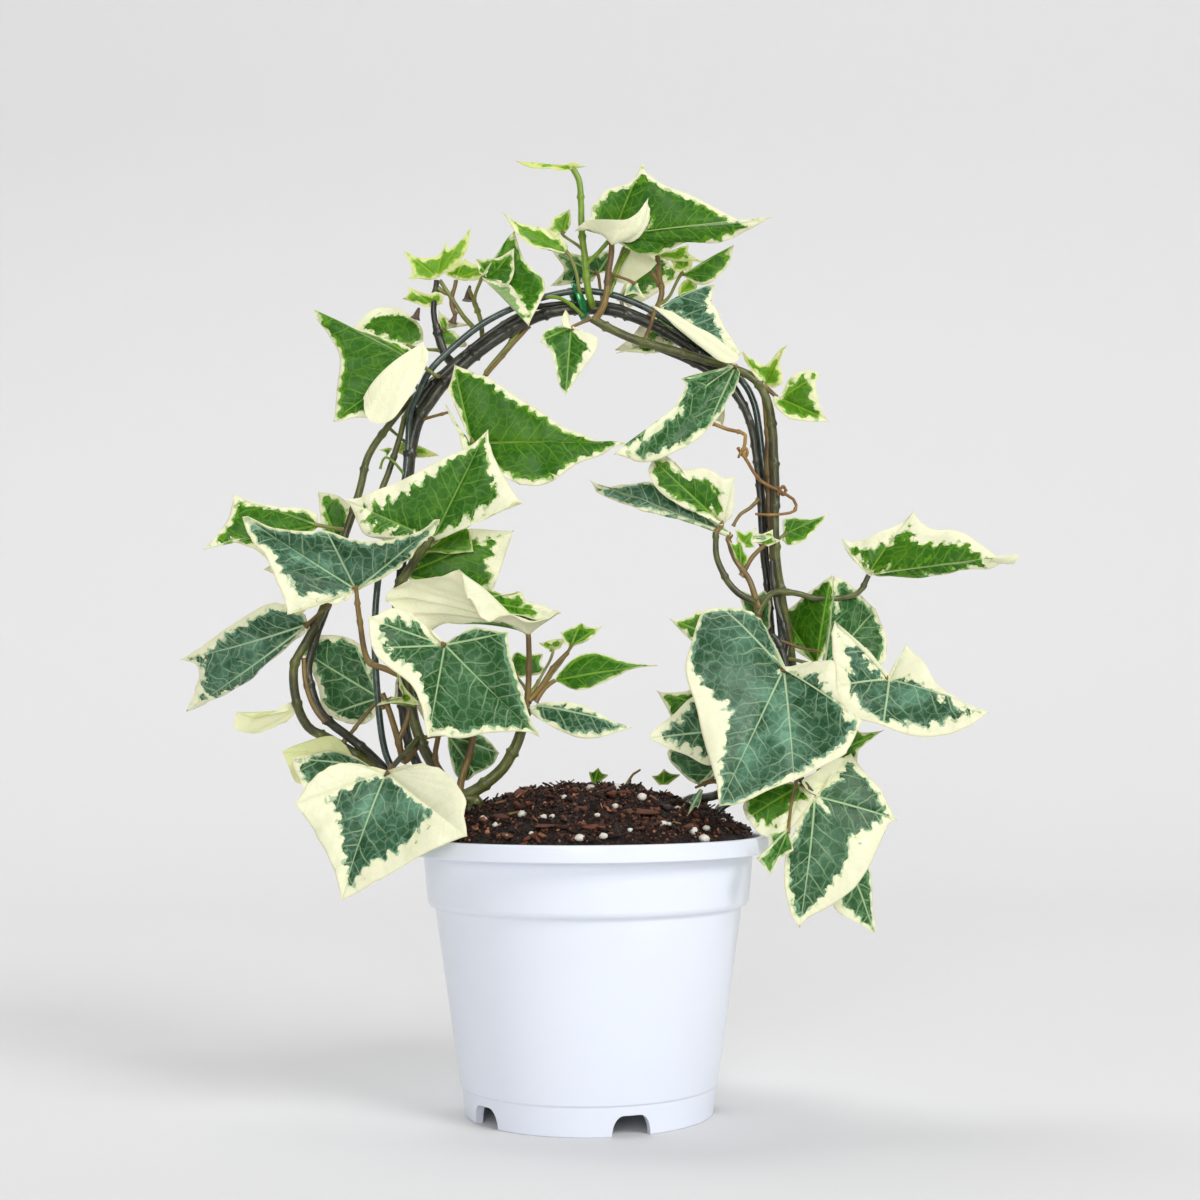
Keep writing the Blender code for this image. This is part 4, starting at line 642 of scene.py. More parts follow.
def streaks_group(name):
    """Fine lengthwise fibres and speckles along a stem, from the grain that the stems carry."""
    tree, given, result = new_group(
        name, "ShaderNodeTree",
        {"Ground": ("Color", (0.1, 0.1, 0.05, 1)), "Streak": ("Color", (0.2, 0.2, 0.1, 1)),
         "Patch": ("Color", (0.05, 0.05, 0.02, 1)), "Streak share": ("Float", 0.5)},
        {"Colour": "Color", "Height": "Float"})
    where = object_place(tree)
    fibre = fine_noise(attribute(tree, "grain"), 3.2, 4.0, 0.6)
    lines = step_up(fibre, 0.42, 0.62)
    patches = step_up(fine_noise(where, 90.0), 0.45, 0.62)
    specks = step_up(fine_noise(where, 900.0, 2.0), 0.66, 0.72)
    colour = blend(lines * given["Streak share"], given["Ground"], given["Streak"])
    colour = blend(patches * 0.7, colour, given["Patch"])
    blend(specks * 0.35, colour, given["Streak"]).feed(result, "Colour")
    (fibre + specks * 0.4).feed(result, "Height")
    return tree


def mottle_group(name):
    """Soft unevenness of a surface in two sizes, for colour, gloss and a little relief."""
    tree, given, result = new_group(
        name, "ShaderNodeTree", {"Size": ("Float", 60.0), "Grain size": ("Float", 900.0)},
        {"Broad": "Float", "Grain": "Float", "Both": "Float"})
    where = object_place(tree)
    broad = fine_noise(where, given["Size"])
    grain = fine_noise(where, given["Grain size"], 2.0)
    for label, value in (("Broad", broad), ("Grain", grain), ("Both", broad * 0.7 + grain * 0.3)):
        value.feed(result, label)
    return tree


# Materials

def tint(red, green, blue):
    """A colour given as it looks on screen, 0 to 255, as the linear colour that shaders take."""
    linear = [((c / 255 + 0.055) / 1.055) ** 2.4 if c > 10 else c / 255 / 12.92 for c in (red, green, blue)]
    return (*linear, 1.0)


def opaque(colour):
    return (*colour[:3], 1.0)


def new_material(name, **plain):
    """A material, its node tree and its Principled shader, with the plain values set on its sockets."""
    material = bpy.data.materials.new(name)
    material.use_nodes = True
    tree = material.node_tree
    shader = tree.nodes["Principled BSDF"]
    for label, value in plain.items():
        shader.inputs[label.replace("_", " ")].default_value = value
    return material, tree, shader


def add_relief(shader, height, deep):
    """Bump from a height of 0 to 1 that is deep metres high."""
    relief = place(height.tree, "ShaderNodeBump", {"Height": height, "Strength": 1.0, "Distance": deep})
    relief.feed(shader, "Normal")


def leaf_material(name):
    """Variegated blade: green heart with painted sheen, jagged border, cream margin, pale veins and fine net.
    """
    look = bpy.context.scene.ivy_leaves
    material, tree, shader = new_material(name, Specular_IOR_Level=0.24, Coat_Weight=0.04, Coat_Roughness=0.3,
                                          Subsurface_Weight=0.08, Subsurface_Scale=0.0012)
    where = object_place(tree)
    aside, along, edge = parts(attribute(tree, "blade"))
    cream_width, tone, under = parts(attribute(tree, "look"))
    between = attribute(tree, "between", "Fac")
    young = step_up(tone, 0.95, 1.8)
    margin = cream_width + young * 0.8
    wander = fine_noise(where, 75.0, 2.0) - 0.5

    # Side veins leave the main ones at a slant, one every few millimetres
    slant = along - aside * 0.85 + wander * 7.0
    turn = (slant / SIDE_VEINS).calc("FRACT")
    from_side = (turn - 0.5).calc("ABSOLUTE") * (SIDE_VEINS * 0.76)

    # Green heart: its border steps from cell to cell, follows the veins and wanders
    large, small = cells(where, 330.0) - 0.45, cells(where, 800.0) - 0.45
    chance = cell_value(where, 290.0) - 0.5
    jag = large * 2.2 + small * 1.5 + chance * 1.2 + wander * 3.6
    jag = jag + step_up(from_side, 0.1, 1.9, 1.1, -0.7)
    size = margin.calc("MULTIPLY", 0.25, clamp=True)
    near_vein = step_up(aside, 10.0, 0.5, -0.55, 0.5)
    reach = edge + jag * size + near_vein * step_up(margin, 1.0, 9.0, 0.1, 2.6)
    inside = reach - margin
    heart = step_up(inside, -0.12, 0.12)
    band = step_up(cell_value(where, 380.0), 0.35, 0.4)
    pale_band = (1.0 - step_up(inside, 0.9, 1.1)) * band
    torn = cell_value(where, 620.0).calc("MULTIPLY_ADD", 2.4, -1.4)
    fringe = step_up(inside + torn * size, -0.7, -0.2)

    # Greens: painted sheen in light-green patches near main veins and mid-blade, plus the blade's own pale
    # cells
    bright = step_up(tone, 0.15, 0.6)

    def by_age(old, grown, fresh):
        return blend(young, blend(bright, opaque(old), opaque(grown)), opaque(fresh))

    green = by_age(look.old_green, look.bright_green, look.young_green)
    light = by_age(look.old_light, look.bright_light, look.young_light)
    bent = place(tree, "ShaderNodeVectorMath",
                 {0: fine_noise(where, 240.0, 2.0, 0.5, "Color"), 1: (2.6 * MM,) * 3, 2: where},
                 operation="MULTIPLY_ADD")
    border = cell_border(bent, 290.0)
    fleck = step_up(fine_noise(where, 420.0), 0.4, 0.7)
    # Painted sheen: lighter where the gloss would shine, fading towards the margins and away from the main
    # veins
    painted_sheen = step_up(fine_noise(where, 85.0), 0.38, 0.66) * step_up(tone, 0.34, 0.0, 0.3, 1.25)
    close = step_up(aside, 10.0, 0.5, 0.3, 1.0)
    centre = step_up(edge, 1.0, 14.0, 0.15, 1.0)
    cell = step_up(cell_value(bent, 290.0), 0.3, 1.0, 0.0, 0.12)
    glow = step_up(border, 0.2, 0.0) * 0.12
    patch = (painted_sheen * (close * centre) + cell * centre + fleck * 0.1).calc("ADD", glow, clamp=True)
    green = blend(patch, green, light)
    green = blend(pale_band * 0.6, green, light)

    # Veins: main, side and the fine net between them
    width = step_up(along, 0.0, 45.0, 0.34, 0.14)
    main_veins = step_up(aside - width, 0.16, -0.1)
    side = step_up(from_side, 0.36, 0.02) * step_up(aside, 12.0, 3.0) * step_up(between, 0.3, 2.4)
    net = step_up(border, 0.075, 0.0)
    fine_net = step_up(cell_border(bent, 850.0), 0.09, 0.02)
    veins = main_veins * step_up(along, 60.0, 6.0, 0.5, 1.0)
    for finer in (side * 0.55, net * 0.2, fine_net * 0.06):
        veins = veins.calc("MAXIMUM", finer)
    green = blend(veins * 0.85, green, by_age(look.old_vein, look.bright_vein, look.young_light))

    # Cream margin, dry rim and the pale underside
    cream = blend(young * 0.75, opaque(look.cream), opaque(look.young_cream))
    for share in (step_up(inside, -1.6, -0.1) * 0.45, fleck * 0.16, veins * 0.22):
        cream = blend(share, cream, opaque(look.cream_edge))
    cream = blend(fringe * 0.5, cream, light)
    colour = blend(heart, cream, green)
    colour = blend(step_up(edge, 0.35, 0.0) * 0.5, colour, opaque(look.rim))
    below = blend(heart, opaque(look.under_cream), opaque(look.under_green))
    below = blend(veins * 0.5, below, opaque(look.under_cream))
    blend(under * 0.7, colour, below).feed(shader, "Base Color")

    (under * 0.2 + 0.34 + fleck * 0.12).feed(shader, "Roughness")
    dip = main_veins * 0.5 + side * 0.3 + net * 0.18 + fine_net * 0.05
    add_relief(shader, fleck * 0.16 - dip, 0.22 * MM)
    return material


def fibre_material(name, ground, streak, patch, roughness, coat=0.1, deep=0.12 * MM):
    """Bark or green skin of a stem, in three colours as they look on screen."""
    material, tree, shader = new_material(name, Roughness=roughness, Coat_Weight=coat)
    group = made_once(bpy.data.node_groups, "Fibre streaks", streaks_group)
    colours = {"Ground": tint(*ground), "Streak": tint(*streak), "Patch": tint(*patch)}
    colour = place(tree, "ShaderNodeGroup", colours, "Colour", node_tree=group)
    colour.feed(shader, "Base Color")
    add_relief(shader, colour.sibling("Height"), deep)
    return material


def stem_material(kind):
    return made_once(bpy.data.materials, f"Stem skin {kind}", fibre_material, *STEM_SKINS[kind])


def mottled_material(name, base, shade, roughness, size=60.0, grain=900.0, share=0.5, deep=0.03 * MM, **plain):
    """A smooth made surface with soft unevenness in colour, gloss and relief."""
    material, tree, shader = new_material(name, **plain)
    group = made_once(bpy.data.node_groups, "Soft mottling", mottle_group)
    broad = place(tree, "ShaderNodeGroup", {"Size": size, "Grain size": grain}, "Broad", node_tree=group)
    colour = blend(step_up(broad, 0.35, 0.7) * share, opaque(base), opaque(shade))
    colour.feed(shader, "Base Color")
    rough = step_up(broad.sibling("Both"), 0.3, 0.7, roughness - 0.02, roughness + 0.03)
    rough.feed(shader, "Roughness")
    if deep:
        add_relief(shader, broad.sibling("Grain"), deep)
    return material


def bark_material(name):
    """Dark moist bark: every crumb has its own brown, with lighter fibres and dull gloss."""
    material, tree, shader = new_material(name, Specular_IOR_Level=0.3)
    where = object_place(tree)
    chance = attribute(tree, "chance", "Fac")
    # The darkest brown also colours the heap between crumbs, where it is partly painted shade in the gaps
    colour = blend(step_up(chance, 0.2, 0.6), tint(16, 10, 8), tint(60, 33, 25))
    colour = blend(step_up(chance, 0.6, 0.85), colour, tint(112, 68, 50))
    colour = blend(step_up(chance, 0.86, 1.0), colour, tint(186, 132, 100))
    fibre = fine_noise(attribute(tree, "own"), 3.0, 4.0, 0.65)
    broad = step_up(fine_noise(where, 120.0), 0.35, 0.7)
    colour = blend(step_up(fibre, 0.5, 0.75) * 0.45, colour, tint(146, 98, 74))
    blend(broad * 0.5, colour, tint(26, 16, 14)).feed(shader, "Base Color")
    step_up(broad, 0.0, 1.0, 0.85, 0.5).feed(shader, "Roughness")
    add_relief(shader, fibre * 0.6 + fine_noise(where, 1400.0), 0.35 * MM)
    return material


# Node trees that make shapes

def store(geometry, name, value, data_type="FLOAT_VECTOR", domain="POINT"):
    """The geometry with a value kept under a name."""
    return place(geometry.tree, "GeometryNodeStoreNamedAttribute",
                 {"Geometry": geometry, "Name": name, "Value": value}, data_type=data_type, domain=domain)


def stored(tree, name, data_type):
    return place(tree, "GeometryNodeInputNamedAttribute", {"Name": name}, "Attribute", data_type=data_type)


def drift(colour, amount):
    """An offset to any side, from a noise's colour."""
    centred = place(colour.tree, "ShaderNodeVectorMath", {0: colour, 1: (0.5,) * 3}, operation="SUBTRACT")
    return place(colour.tree, "ShaderNodeVectorMath", {0: centred, "Scale": amount}, operation="SCALE")


def dress(geometry, skin, result):
    """Ends a tree with smooth faces, real instances and the material."""
    smooth = place(geometry.tree, "GeometryNodeSetShadeSmooth", {"Geometry": geometry})
    real = place(geometry.tree, "GeometryNodeRealizeInstances", {"Geometry": smooth})
    place(geometry.tree, "GeometryNodeSetMaterial", {"Geometry": real, "Material": skin}).feed(result, 0)


def stem_tree(name):
    """Routes to stems: wandering, swollen where leaves once sat, with a grain that runs along them."""
    tree, give, result = new_group(
        name, "GeometryNodeTree",
        {"Routes": ("Geometry", None), "Step": ("Float", 0.9 * MM), "Sides": ("Int", 12),
         "Joint spacing": ("Float", 14 * MM), "Joint swelling": ("Float", 0.35), "Wander": ("Float", 0.5 * MM),
         "Flatness": ("Float", 1.0), "Seed": ("Float", 0.0), "Skin": ("Material", None)},
        {"Stems": "Geometry"})
    even = place(tree, "GeometryNodeResampleCurve", {"Curve": give["Routes"], "Length": give["Step"]},
                 mode="LENGTH")
    along = place(tree, "GeometryNodeSplineParameter", out="Factor")
    length = along.sibling("Length")
    free = along.calc("MULTIPLY", 12.0, clamp=True) * (1.0 - along).calc("MULTIPLY", 12.0, clamp=True)
    spot = place(tree, "GeometryNodeInputPosition")
    noises = place(tree, "ShaderNodeTexNoise",
                   {"Vector": spot, "W": give["Seed"], "Scale": 95.0, "Detail": 1.0},
                   "Color", noise_dimensions="4D")
    offset = drift(noises, give["Wander"] * 2.0 * free)
    moved = place(tree, "GeometryNodeSetPosition", {"Geometry": even, "Offset": offset})
    pulse = (length / give["Joint spacing"] * math.tau).calc("COSINE").calc("MAXIMUM", 0.0).calc("POWER", 26.0)
    radius = place(tree, "GeometryNodeInputRadius")
    profile = place(tree, "GeometryNodeCurvePrimitiveCircle", {"Resolution": give["Sides"]})
    section = place(tree, "GeometryNodeTransform", {"Geometry": store(profile, "round", spot),
                                                    "Scale": vector_of(tree, 1.0, give["Flatness"], 1.0)})
    skin = place(tree, "GeometryNodeCurveToMesh",
                 {"Curve": store(moved, "run", length, "FLOAT"), "Profile Curve": section,
                  "Scale": radius * (pulse * give["Joint swelling"] + 1.0), "Fill Caps": True})
    across, up, _ = parts(stored(tree, "round", "FLOAT_VECTOR"))
    grain = vector_of(tree, across, up, stored(tree, "run", "FLOAT") * 90.0)
    dress(store(skin, "grain", grain), give["Skin"], result)
    return tree


def crumb_tree(name):
    """Scatters one crumb over the soil in random sizes and turns, then roughens the made crumbs."""
    tree, give, result = new_group(
        name, "GeometryNodeTree",
        {"Ground": ("Geometry", None), "Crumb": ("Object", None), "Per square metre": ("Float", 1e5),
         "Smallest": ("Vector", (MM, MM, MM)), "Largest": ("Vector", (2 * MM, 2 * MM, 2 * MM)),
         "Tilt": ("Float", 3.0), "Sunk": ("Float", 0.0), "Roughness": ("Float", 0.3 * MM),
         "Lump size": ("Float", 400.0), "Seed": ("Int", 0), "Skin": ("Material", None)},
        {"Crumbs": "Geometry"})
    seed, tilt, mirrored = give["Seed"], give["Tilt"], give["Tilt"] * -1.0
    spot = place(tree, "GeometryNodeInputPosition")
    flat = place(tree, "ShaderNodeVectorMath", {0: spot, 1: (1, 1, 0)}, operation="MULTIPLY")
    reach = place(tree, "ShaderNodeVectorMath", {0: flat}, "Value", operation="LENGTH")
    on_top = (parts(place(tree, "GeometryNodeInputNormal"))[2].calc("GREATER_THAN", 0.35)
              * parts(spot)[2].calc("GREATER_THAN", SOIL_EDGE_Z - 4 * MM)
              * reach.calc("LESS_THAN", MOUTH_R - 3.5 * MM))
    points = place(tree, "GeometryNodeDistributePointsOnFaces",
                   {"Mesh": give["Ground"], "Selection": on_top, "Density": give["Per square metre"],
                    "Seed": seed})
    size = place(tree, "FunctionNodeRandomValue", {0: give["Smallest"], 1: give["Largest"], 8: seed},
                 data_type="FLOAT_VECTOR")
    turn = place(tree, "FunctionNodeRandomValue",
                 {0: vector_of(tree, mirrored, mirrored, -math.pi), 1: vector_of(tree, tilt, tilt, math.pi),
                  8: seed + 5.0}, data_type="FLOAT_VECTOR")
    crumb = place(tree, "GeometryNodeObjectInfo", {"Object": give["Crumb"]}, "Geometry")
    put = place(tree, "GeometryNodeInstanceOnPoints",
                {"Points": points, "Instance": crumb, "Rotation": turn, "Scale": size})
    number = place(tree, "FunctionNodeRandomValue", {2: 0.0, 3: 1.0, 8: seed + 9.0}, 1, data_type="FLOAT")
    lowered = place(tree, "GeometryNodeTranslateInstances",
                    {"Instances": store(put, "chance", number, "FLOAT", "INSTANCE"),
                     "Translation": vector_of(tree, 0.0, 0.0, give["Sunk"] * -1.0), "Local Space": False})
    real = place(tree, "GeometryNodeRealizeInstances", {"Geometry": lowered})
    lump = place(tree, "ShaderNodeTexNoise", {"Vector": spot, "Scale": give["Lump size"], "Detail": 1.0},
                 "Color")
    rough = place(tree, "GeometryNodeSetPosition",
                  {"Geometry": real, "Offset": drift(lump, give["Roughness"] * 2.0)})
    dress(rough, give["Skin"], result)
    return tree


# Objects

def visible_piece(obj, node):
    """Makes the object ride on the frame and stand for its CAD node, which is hidden."""
    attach(obj, "root")
    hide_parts(node)


def new_object(name, mesh):
    obj = bpy.data.objects.new(name, mesh)
    bpy.context.scene.collection.objects.link(obj)
    return obj


def object_of(bm, name):
    """The edited mesh as a new object."""
    mesh = bpy.data.meshes.new(name)
    bm.to_mesh(mesh)
    bm.free()
    return new_object(name, mesh)


def keep_values(mesh, name, values):
    """Keeps a number or a vector for each vertex under a name."""
    values = np.asarray(values, dtype=np.float32)
    kind, field = ("FLOAT_VECTOR", "vector") if values.ndim == 2 else ("FLOAT", "value")
    mesh.attributes.new(name, kind, "POINT").data.foreach_set(field, values.ravel())


def keep_own_places(mesh, scale):
    """Keeps each vertex's own place, for the bark's fibres."""
    keep_values(mesh, "own", [vertex.co * scale for vertex in mesh.vertices])


def with_nodes(obj, name, maker, values, made_name):
    """The object's shape after a Geometry Nodes tree with these inputs, as a plain mesh in a new object."""
    tree = made_once(bpy.data.node_groups, name, maker)
    modifier = obj.modifiers.new(name, "NODES")
    modifier.node_group = tree
    values = {label.replace("_", " "): value for label, value in values.items()}
    for item in tree.interface.items_tree:
        if item.item_type == "SOCKET" and item.in_out == "INPUT" and item.name in values:
            modifier[item.identifier] = values[item.name]
    return baked(obj, made_name)


def baked(obj, name):
    """The object's evaluated shape as a plain mesh in a new object, and the old one removed."""
    graph = bpy.context.evaluated_depsgraph_get()
    mesh = bpy.data.meshes.new_from_object(obj.evaluated_get(graph), depsgraph=graph)
    data = obj.data
    bpy.data.objects.remove(obj)
    if isinstance(data, bpy.types.Mesh) and not data.users:
        bpy.data.meshes.remove(data)
    mesh.name = name
    return new_object(name, mesh)


def joined(objects, name):
    """The objects as one, with their material slots kept."""
    with bpy.context.temp_override(active_object=objects[0], object=objects[0],
                                   selected_objects=objects, selected_editable_objects=objects):
        bpy.ops.object.join()
    objects[0].name = name
    objects[0].data.name = name
    return objects[0]


def shade_smooth(obj, sharp=None):
    obj.data.shade_smooth()
    if sharp is not None:
        obj.data.set_sharp_from_angle(angle=math.radians(sharp))


def seen(point):
    """The place of a reading (x, z, y), moved along its line of sight to depth y."""
    x, z, y = point
    on_plane = Vector((x, 0.0, z)) * MM
    return EYE + (on_plane - EYE) * ((y * MM - EYE.y) / -EYE.y)


def smooth_route(points, spacing):
    """Points along a Catmull-Rom curve through the given ones, about as far apart as spacing."""
    ends = [points[0] * 2 - points[1], *points, points[-1] * 2 - points[-2]]
    route = []
    for a, b, c, d in zip(ends, ends[1:], ends[2:], ends[3:]):
        steps = max(1, round((c - b).length / spacing))
        for step in range(steps):
            t = step / steps
            route.append(0.5 * (2 * b + (c - a) * t + (2 * a - 5 * b + 4 * c - d) * t ** 2
                                + (3 * b - a - 3 * c + d) * t ** 3))
    return [*route, points[-1]]


# Leaves

def leaf_reach(leaf):
    return max((seen(lobe) - seen(leaf.joint)).length for lobe in leaf.lobes)


def outline(points, tips, facing, gap, between):
    """Places along the margin from one outline point to the next: cubic, sharp at the tips only."""
    first, second = points[gap], points[gap + 1]

    def flat(vector):
        return vector - facing * vector.dot(facing)

    chord = flat(second - first)
    starts, ends = chord, chord
    if gap not in tips and gap > 0:
        starts = flat(points[gap + 1] - points[gap - 1]).normalized() * chord.length
    if gap + 1 not in tips and gap + 2 < len(points):
        ends = flat(points[gap + 2] - points[gap]).normalized() * chord.length
    t = np.asarray(between)[:, None]
    return (np.array(first) * (2 * t ** 3 - 3 * t ** 2 + 1) + np.array(starts) * (t ** 3 - 2 * t ** 2 + t)
            + np.array(second) * (3 * t ** 2 - 2 * t ** 3) + np.array(ends) * (t ** 3 - t ** 2))


def nearest_on(path, places):
    """For each place, the distance to the path and how far along the path its nearest point is."""
    best = np.full(len(places), np.inf)
    reached = np.zeros(len(places))
    lengths = np.linalg.norm(np.diff(path, axis=0), axis=1)
    before = np.concatenate([[0], np.cumsum(lengths)])
    for start, end, length, passed in zip(path, path[1:], lengths, before):
        if length < 1e-7:
            continue
        across = (end - start) / length
        share = np.clip((places - start) @ across, 0, length)
        gap = np.linalg.norm(places - start - share[:, None] * across, axis=1)
        nearer = gap < best
        best[nearer] = gap[nearer]
        reached[nearer] = passed + share[nearer]
    return best, reached


def grid_normals(grid):
    """Upper-side normals of a grid of places, rows going out from the joint."""
    normals = np.cross(np.gradient(grid, axis=0), np.gradient(grid, axis=1))
    normals[0] = normals[1:3].mean(axis=(0, 1))
    return normals / np.maximum(np.linalg.norm(normals, axis=2, keepdims=True), 1e-12)


def outline_points(leaf):
    """Outline points of a leaf with their margins, bends, and the numbers of tips and ribs."""
    joint = seen(leaf.joint)
    lobes = [seen(p) for p in leaf.lobes]
    creams = list(leaf.cream) if isinstance(leaf.cream, tuple) else [leaf.cream]
    creams += [creams[-1]] * (len(lobes) - len(creams))
    tips = list(leaf.tips if leaf.tips is not None else range(len(lobes)))
    facing = Vector()
    for first, second in zip(lobes, lobes[1:]):
        facing += (first - joint).cross(second - joint)
    facing.normalize()
    bends = []
    for i, lobe in enumerate(lobes):
        half, length = joint + (lobe - joint) / 2, (lobe - joint).length
        bends.append((seen(leaf.curls[i]) - half) / length if i in leaf.curls else facing * leaf.arch)
    if not leaf.fine:
        back = (lobes[len(lobes) // 2] - joint) * HEEL_BACK
        heels = [joint + ((lobe - joint) - back) * HEEL for lobe in (lobes[0], lobes[-1])]
        return ([heels[0], *lobes, heels[1]], [creams[0], *creams, creams[-1]],
                [bends[0], *bends, bends[-1]], [i + 1 for i in tips], [i + 1 for i in leaf.ribs], facing)
    points, margins, turns, numbers, ribs = [], [], [], [], []
    last = len(leaf.lobes)
    for gap, between in enumerate(leaf.fine):
        before, after = max(gap - 1, 0), min(gap, last - 1)
        start = leaf.joint if gap == 0 else leaf.lobes[before]
        end = leaf.joint if gap == last else leaf.lobes[after]
        line = [Vector(p[:2]) for p in (start, *between, end)]
        steps = [(b - a).length for a, b in zip(line, line[1:])]
        reached = 0.0
        for (x, z), step in zip(between, steps):
            reached += step
            share = reached / sum(steps)
            points.append(seen((x, z, start[2] + (end[2] - start[2]) * share)))
            margins.append(creams[before] + (creams[after] - creams[before]) * share)
            turns.append(bends[before].lerp(bends[after], share))
        if gap < last:
            if gap in tips:
                numbers.append(len(points))
            if gap in leaf.ribs:
                ribs.append(len(points))
            points.append(lobes[gap])
            margins.append(creams[gap])
            turns.append(bends[gap])
    return points, margins, turns, numbers, ribs, facing


def leaf_grid(leaf, cell):
    """A leaf's blade as a grid of places, its main veins' columns, its margins and its reach."""
    joint = seen(leaf.joint)
    lobes, creams, bends, tips, ribs, facing = outline_points(leaf)
    sinuses = list(leaf.sinuses) or [SINUS] * (len(leaf.lobes) - 1)
    sinuses = [0.0] * (len(lobes) - 1) if leaf.fine else [0.0, *sinuses, 0.0]
    controls = [joint + (tip - joint) / 2 + bend * (tip - joint).length for tip, bend in zip(lobes, bends)]
    tips, ribs = set(tips), set(ribs)
    if (facing.dot(EYE - joint) < 0) != leaf.under:  # the upper side is the one that the eye sees
        facing = -facing
        tips, ribs = ({len(lobes) - 1 - i for i in row} for row in (tips, ribs))
        for row in (lobes, controls, sinuses, creams):
            row.reverse()
    reach = max((tip - joint).length for tip in lobes)
    rows = max(5, round(reach / cell))
    cusp = reach * (0.008 if leaf.fine else 0.03)
    joint, upright = np.array(joint), np.array(facing)
    out = (np.arange(rows + 1) / rows)[:, None, None]
    columns, spokes, creamy = [], [0], []
    for gap in range(len(lobes) - 1):
        width = (lobes[gap + 1] - lobes[gap]).length
        count = max(2, round(width / cell))
        last = gap == len(lobes) - 2
        between = np.linspace(0, 1, count + 1)[:None if last else -1]
        edge = outline(lobes, tips, facing, gap, between)
        from_joint = edge - joint
        cut = sinuses[gap] * np.sin(math.pi * between) ** 1.3
        far = np.linalg.norm(from_joint, axis=1)
        for point, share in ((gap, between), (gap + 1, 1 - between)):
            if point in tips:
                cut = cut + cusp / far * (1 - np.exp(-share * width / cusp))
        edge = edge - from_joint * cut[:, None]

        # Each spoke is a quadratic curve from the joint to the edge
        eased = (1 - np.cos(math.pi * between))[:, None] / 2
        across = np.array(controls[gap + 1]) - np.array(controls[gap])
        rise = upright * (across @ upright)
        control = np.array(controls[gap]) + (across - rise) * between[:, None] + rise * eased
        columns.append(joint * (1 - out) ** 2 + control * 2 * out * (1 - out) + edge * out ** 2)
        spokes.append(spokes[-1] + len(between))
        creamy.append(creams[gap] + (creams[gap + 1] - creams[gap]) * between)
    grid = np.concatenate(columns, axis=1)
    spokes[-1] = grid.shape[1] - 1
    return grid, [spokes[i] for i in sorted(tips | ribs)], np.concatenate(creamy), reach


def leaf_blade(leaf, seed, net):
    """The closed blade of one leaf: places, faces and the values that its colours follow."""
    look = bpy.context.scene.ivy_leaves
    cell = net * look.cell * (1.0 if leaf_reach(leaf) > SMALL_LEAF else SMALL_NET)
    grid, vein_columns, margin, reach = leaf_grid(leaf, cell)
    rows, width = grid.shape[0] - 1, grid.shape[1]
    flat = grid.reshape(-1, 3)
    edge, _ = nearest_on(np.concatenate([grid[::-1, 0], grid[-1], grid[::-1, -1]]), flat)
    by_vein = [nearest_on(grid[:, c], flat) for c in vein_columns]
    by_vein += [(np.full(len(flat), FAR), np.zeros(len(flat)))] * 2  # so that there are always two
    aways, passed = (np.stack(values) for values in zip(*by_vein))
    aside, second = np.sort(aways, axis=0)[:2]
    along = passed[aways.argmin(axis=0), np.arange(len(flat))]
    share = np.repeat(np.linspace(0, 1, rows + 1), width)

    # Relief in the blade itself: sunk veins, puffed panels, wavy and rolled margins
    chance = np.random.default_rng(SEED + seed)
    size = min(1.0, reach / LARGE_LEAF)
    sunk = -look.vein_depth * np.exp(-(aside / (0.9 * MM)) ** 2) * (1 - 0.6 * share)
    puffed = look.puff * size * (1 - np.exp(-aside / (3.5 * MM))) * np.minimum(1, edge / (3 * MM))
    waves = np.zeros(len(flat))
    for _ in range(4):
        direction = chance.normal(size=3)
        direction /= np.linalg.norm(direction)
        length = chance.uniform(9, 22) * MM * (0.5 + 0.5 * size)
        waves += np.sin(flat @ direction * math.tau / length + chance.uniform(0, math.tau))
    waves *= look.wave * size * 0.5 * share ** 3
    rolled = -look.roll * size * np.exp(-edge / (1.6 * MM))
    lift = sunk + puffed + waves + rolled
    half = THICK / 2 * (1 - 0.45 * np.exp(-edge / (0.6 * MM)))
    upright = grid_normals(grid).reshape(-1, 3)

    # The joint row is one place, so its copies are dropped
    keep = np.arange(width - 1, len(flat))
    count = len(keep)
    places = [(flat + upright * (lift + side)[:, None])[keep] for side in (half, -half)]
    creamy = np.tile(margin, rows + 1) * (0.3 + 0.7 * np.minimum(1, share / 0.45))
    blade = np.stack([aside, along, edge], axis=1)[keep] / MM
    sector = (second - aside)[keep] / MM
    styles = [np.stack([creamy[keep], np.full(count, leaf.tone), np.full(count, under)], axis=1)
              for under in (0, 1)]

    def at(row, column):
        return 0 if row == 0 else 1 + (row - 1) * width + column

    faces = [(0, at(1, c), at(1, c + 1)) for c in range(width - 1)]
    faces += [(at(r, c), at(r + 1, c), at(r + 1, c + 1), at(r, c + 1))
              for r in range(1, rows) for c in range(width - 1)]
    around = ([at(r, 0) for r in range(rows + 1)] + [at(rows, c) for c in range(1, width)]
              + [at(r, width - 1) for r in range(rows - 1, 0, -1)])
    below = [tuple(i + count for i in face[::-1]) for face in faces]
    rim = [(a + count, b + count, b, a) for a, b in zip(around, around[1:] + around[:1])]
    return (faces + below + rim, np.concatenate(places), np.concatenate([blade, blade]),
            np.concatenate(styles), np.concatenate([sector, sector]))


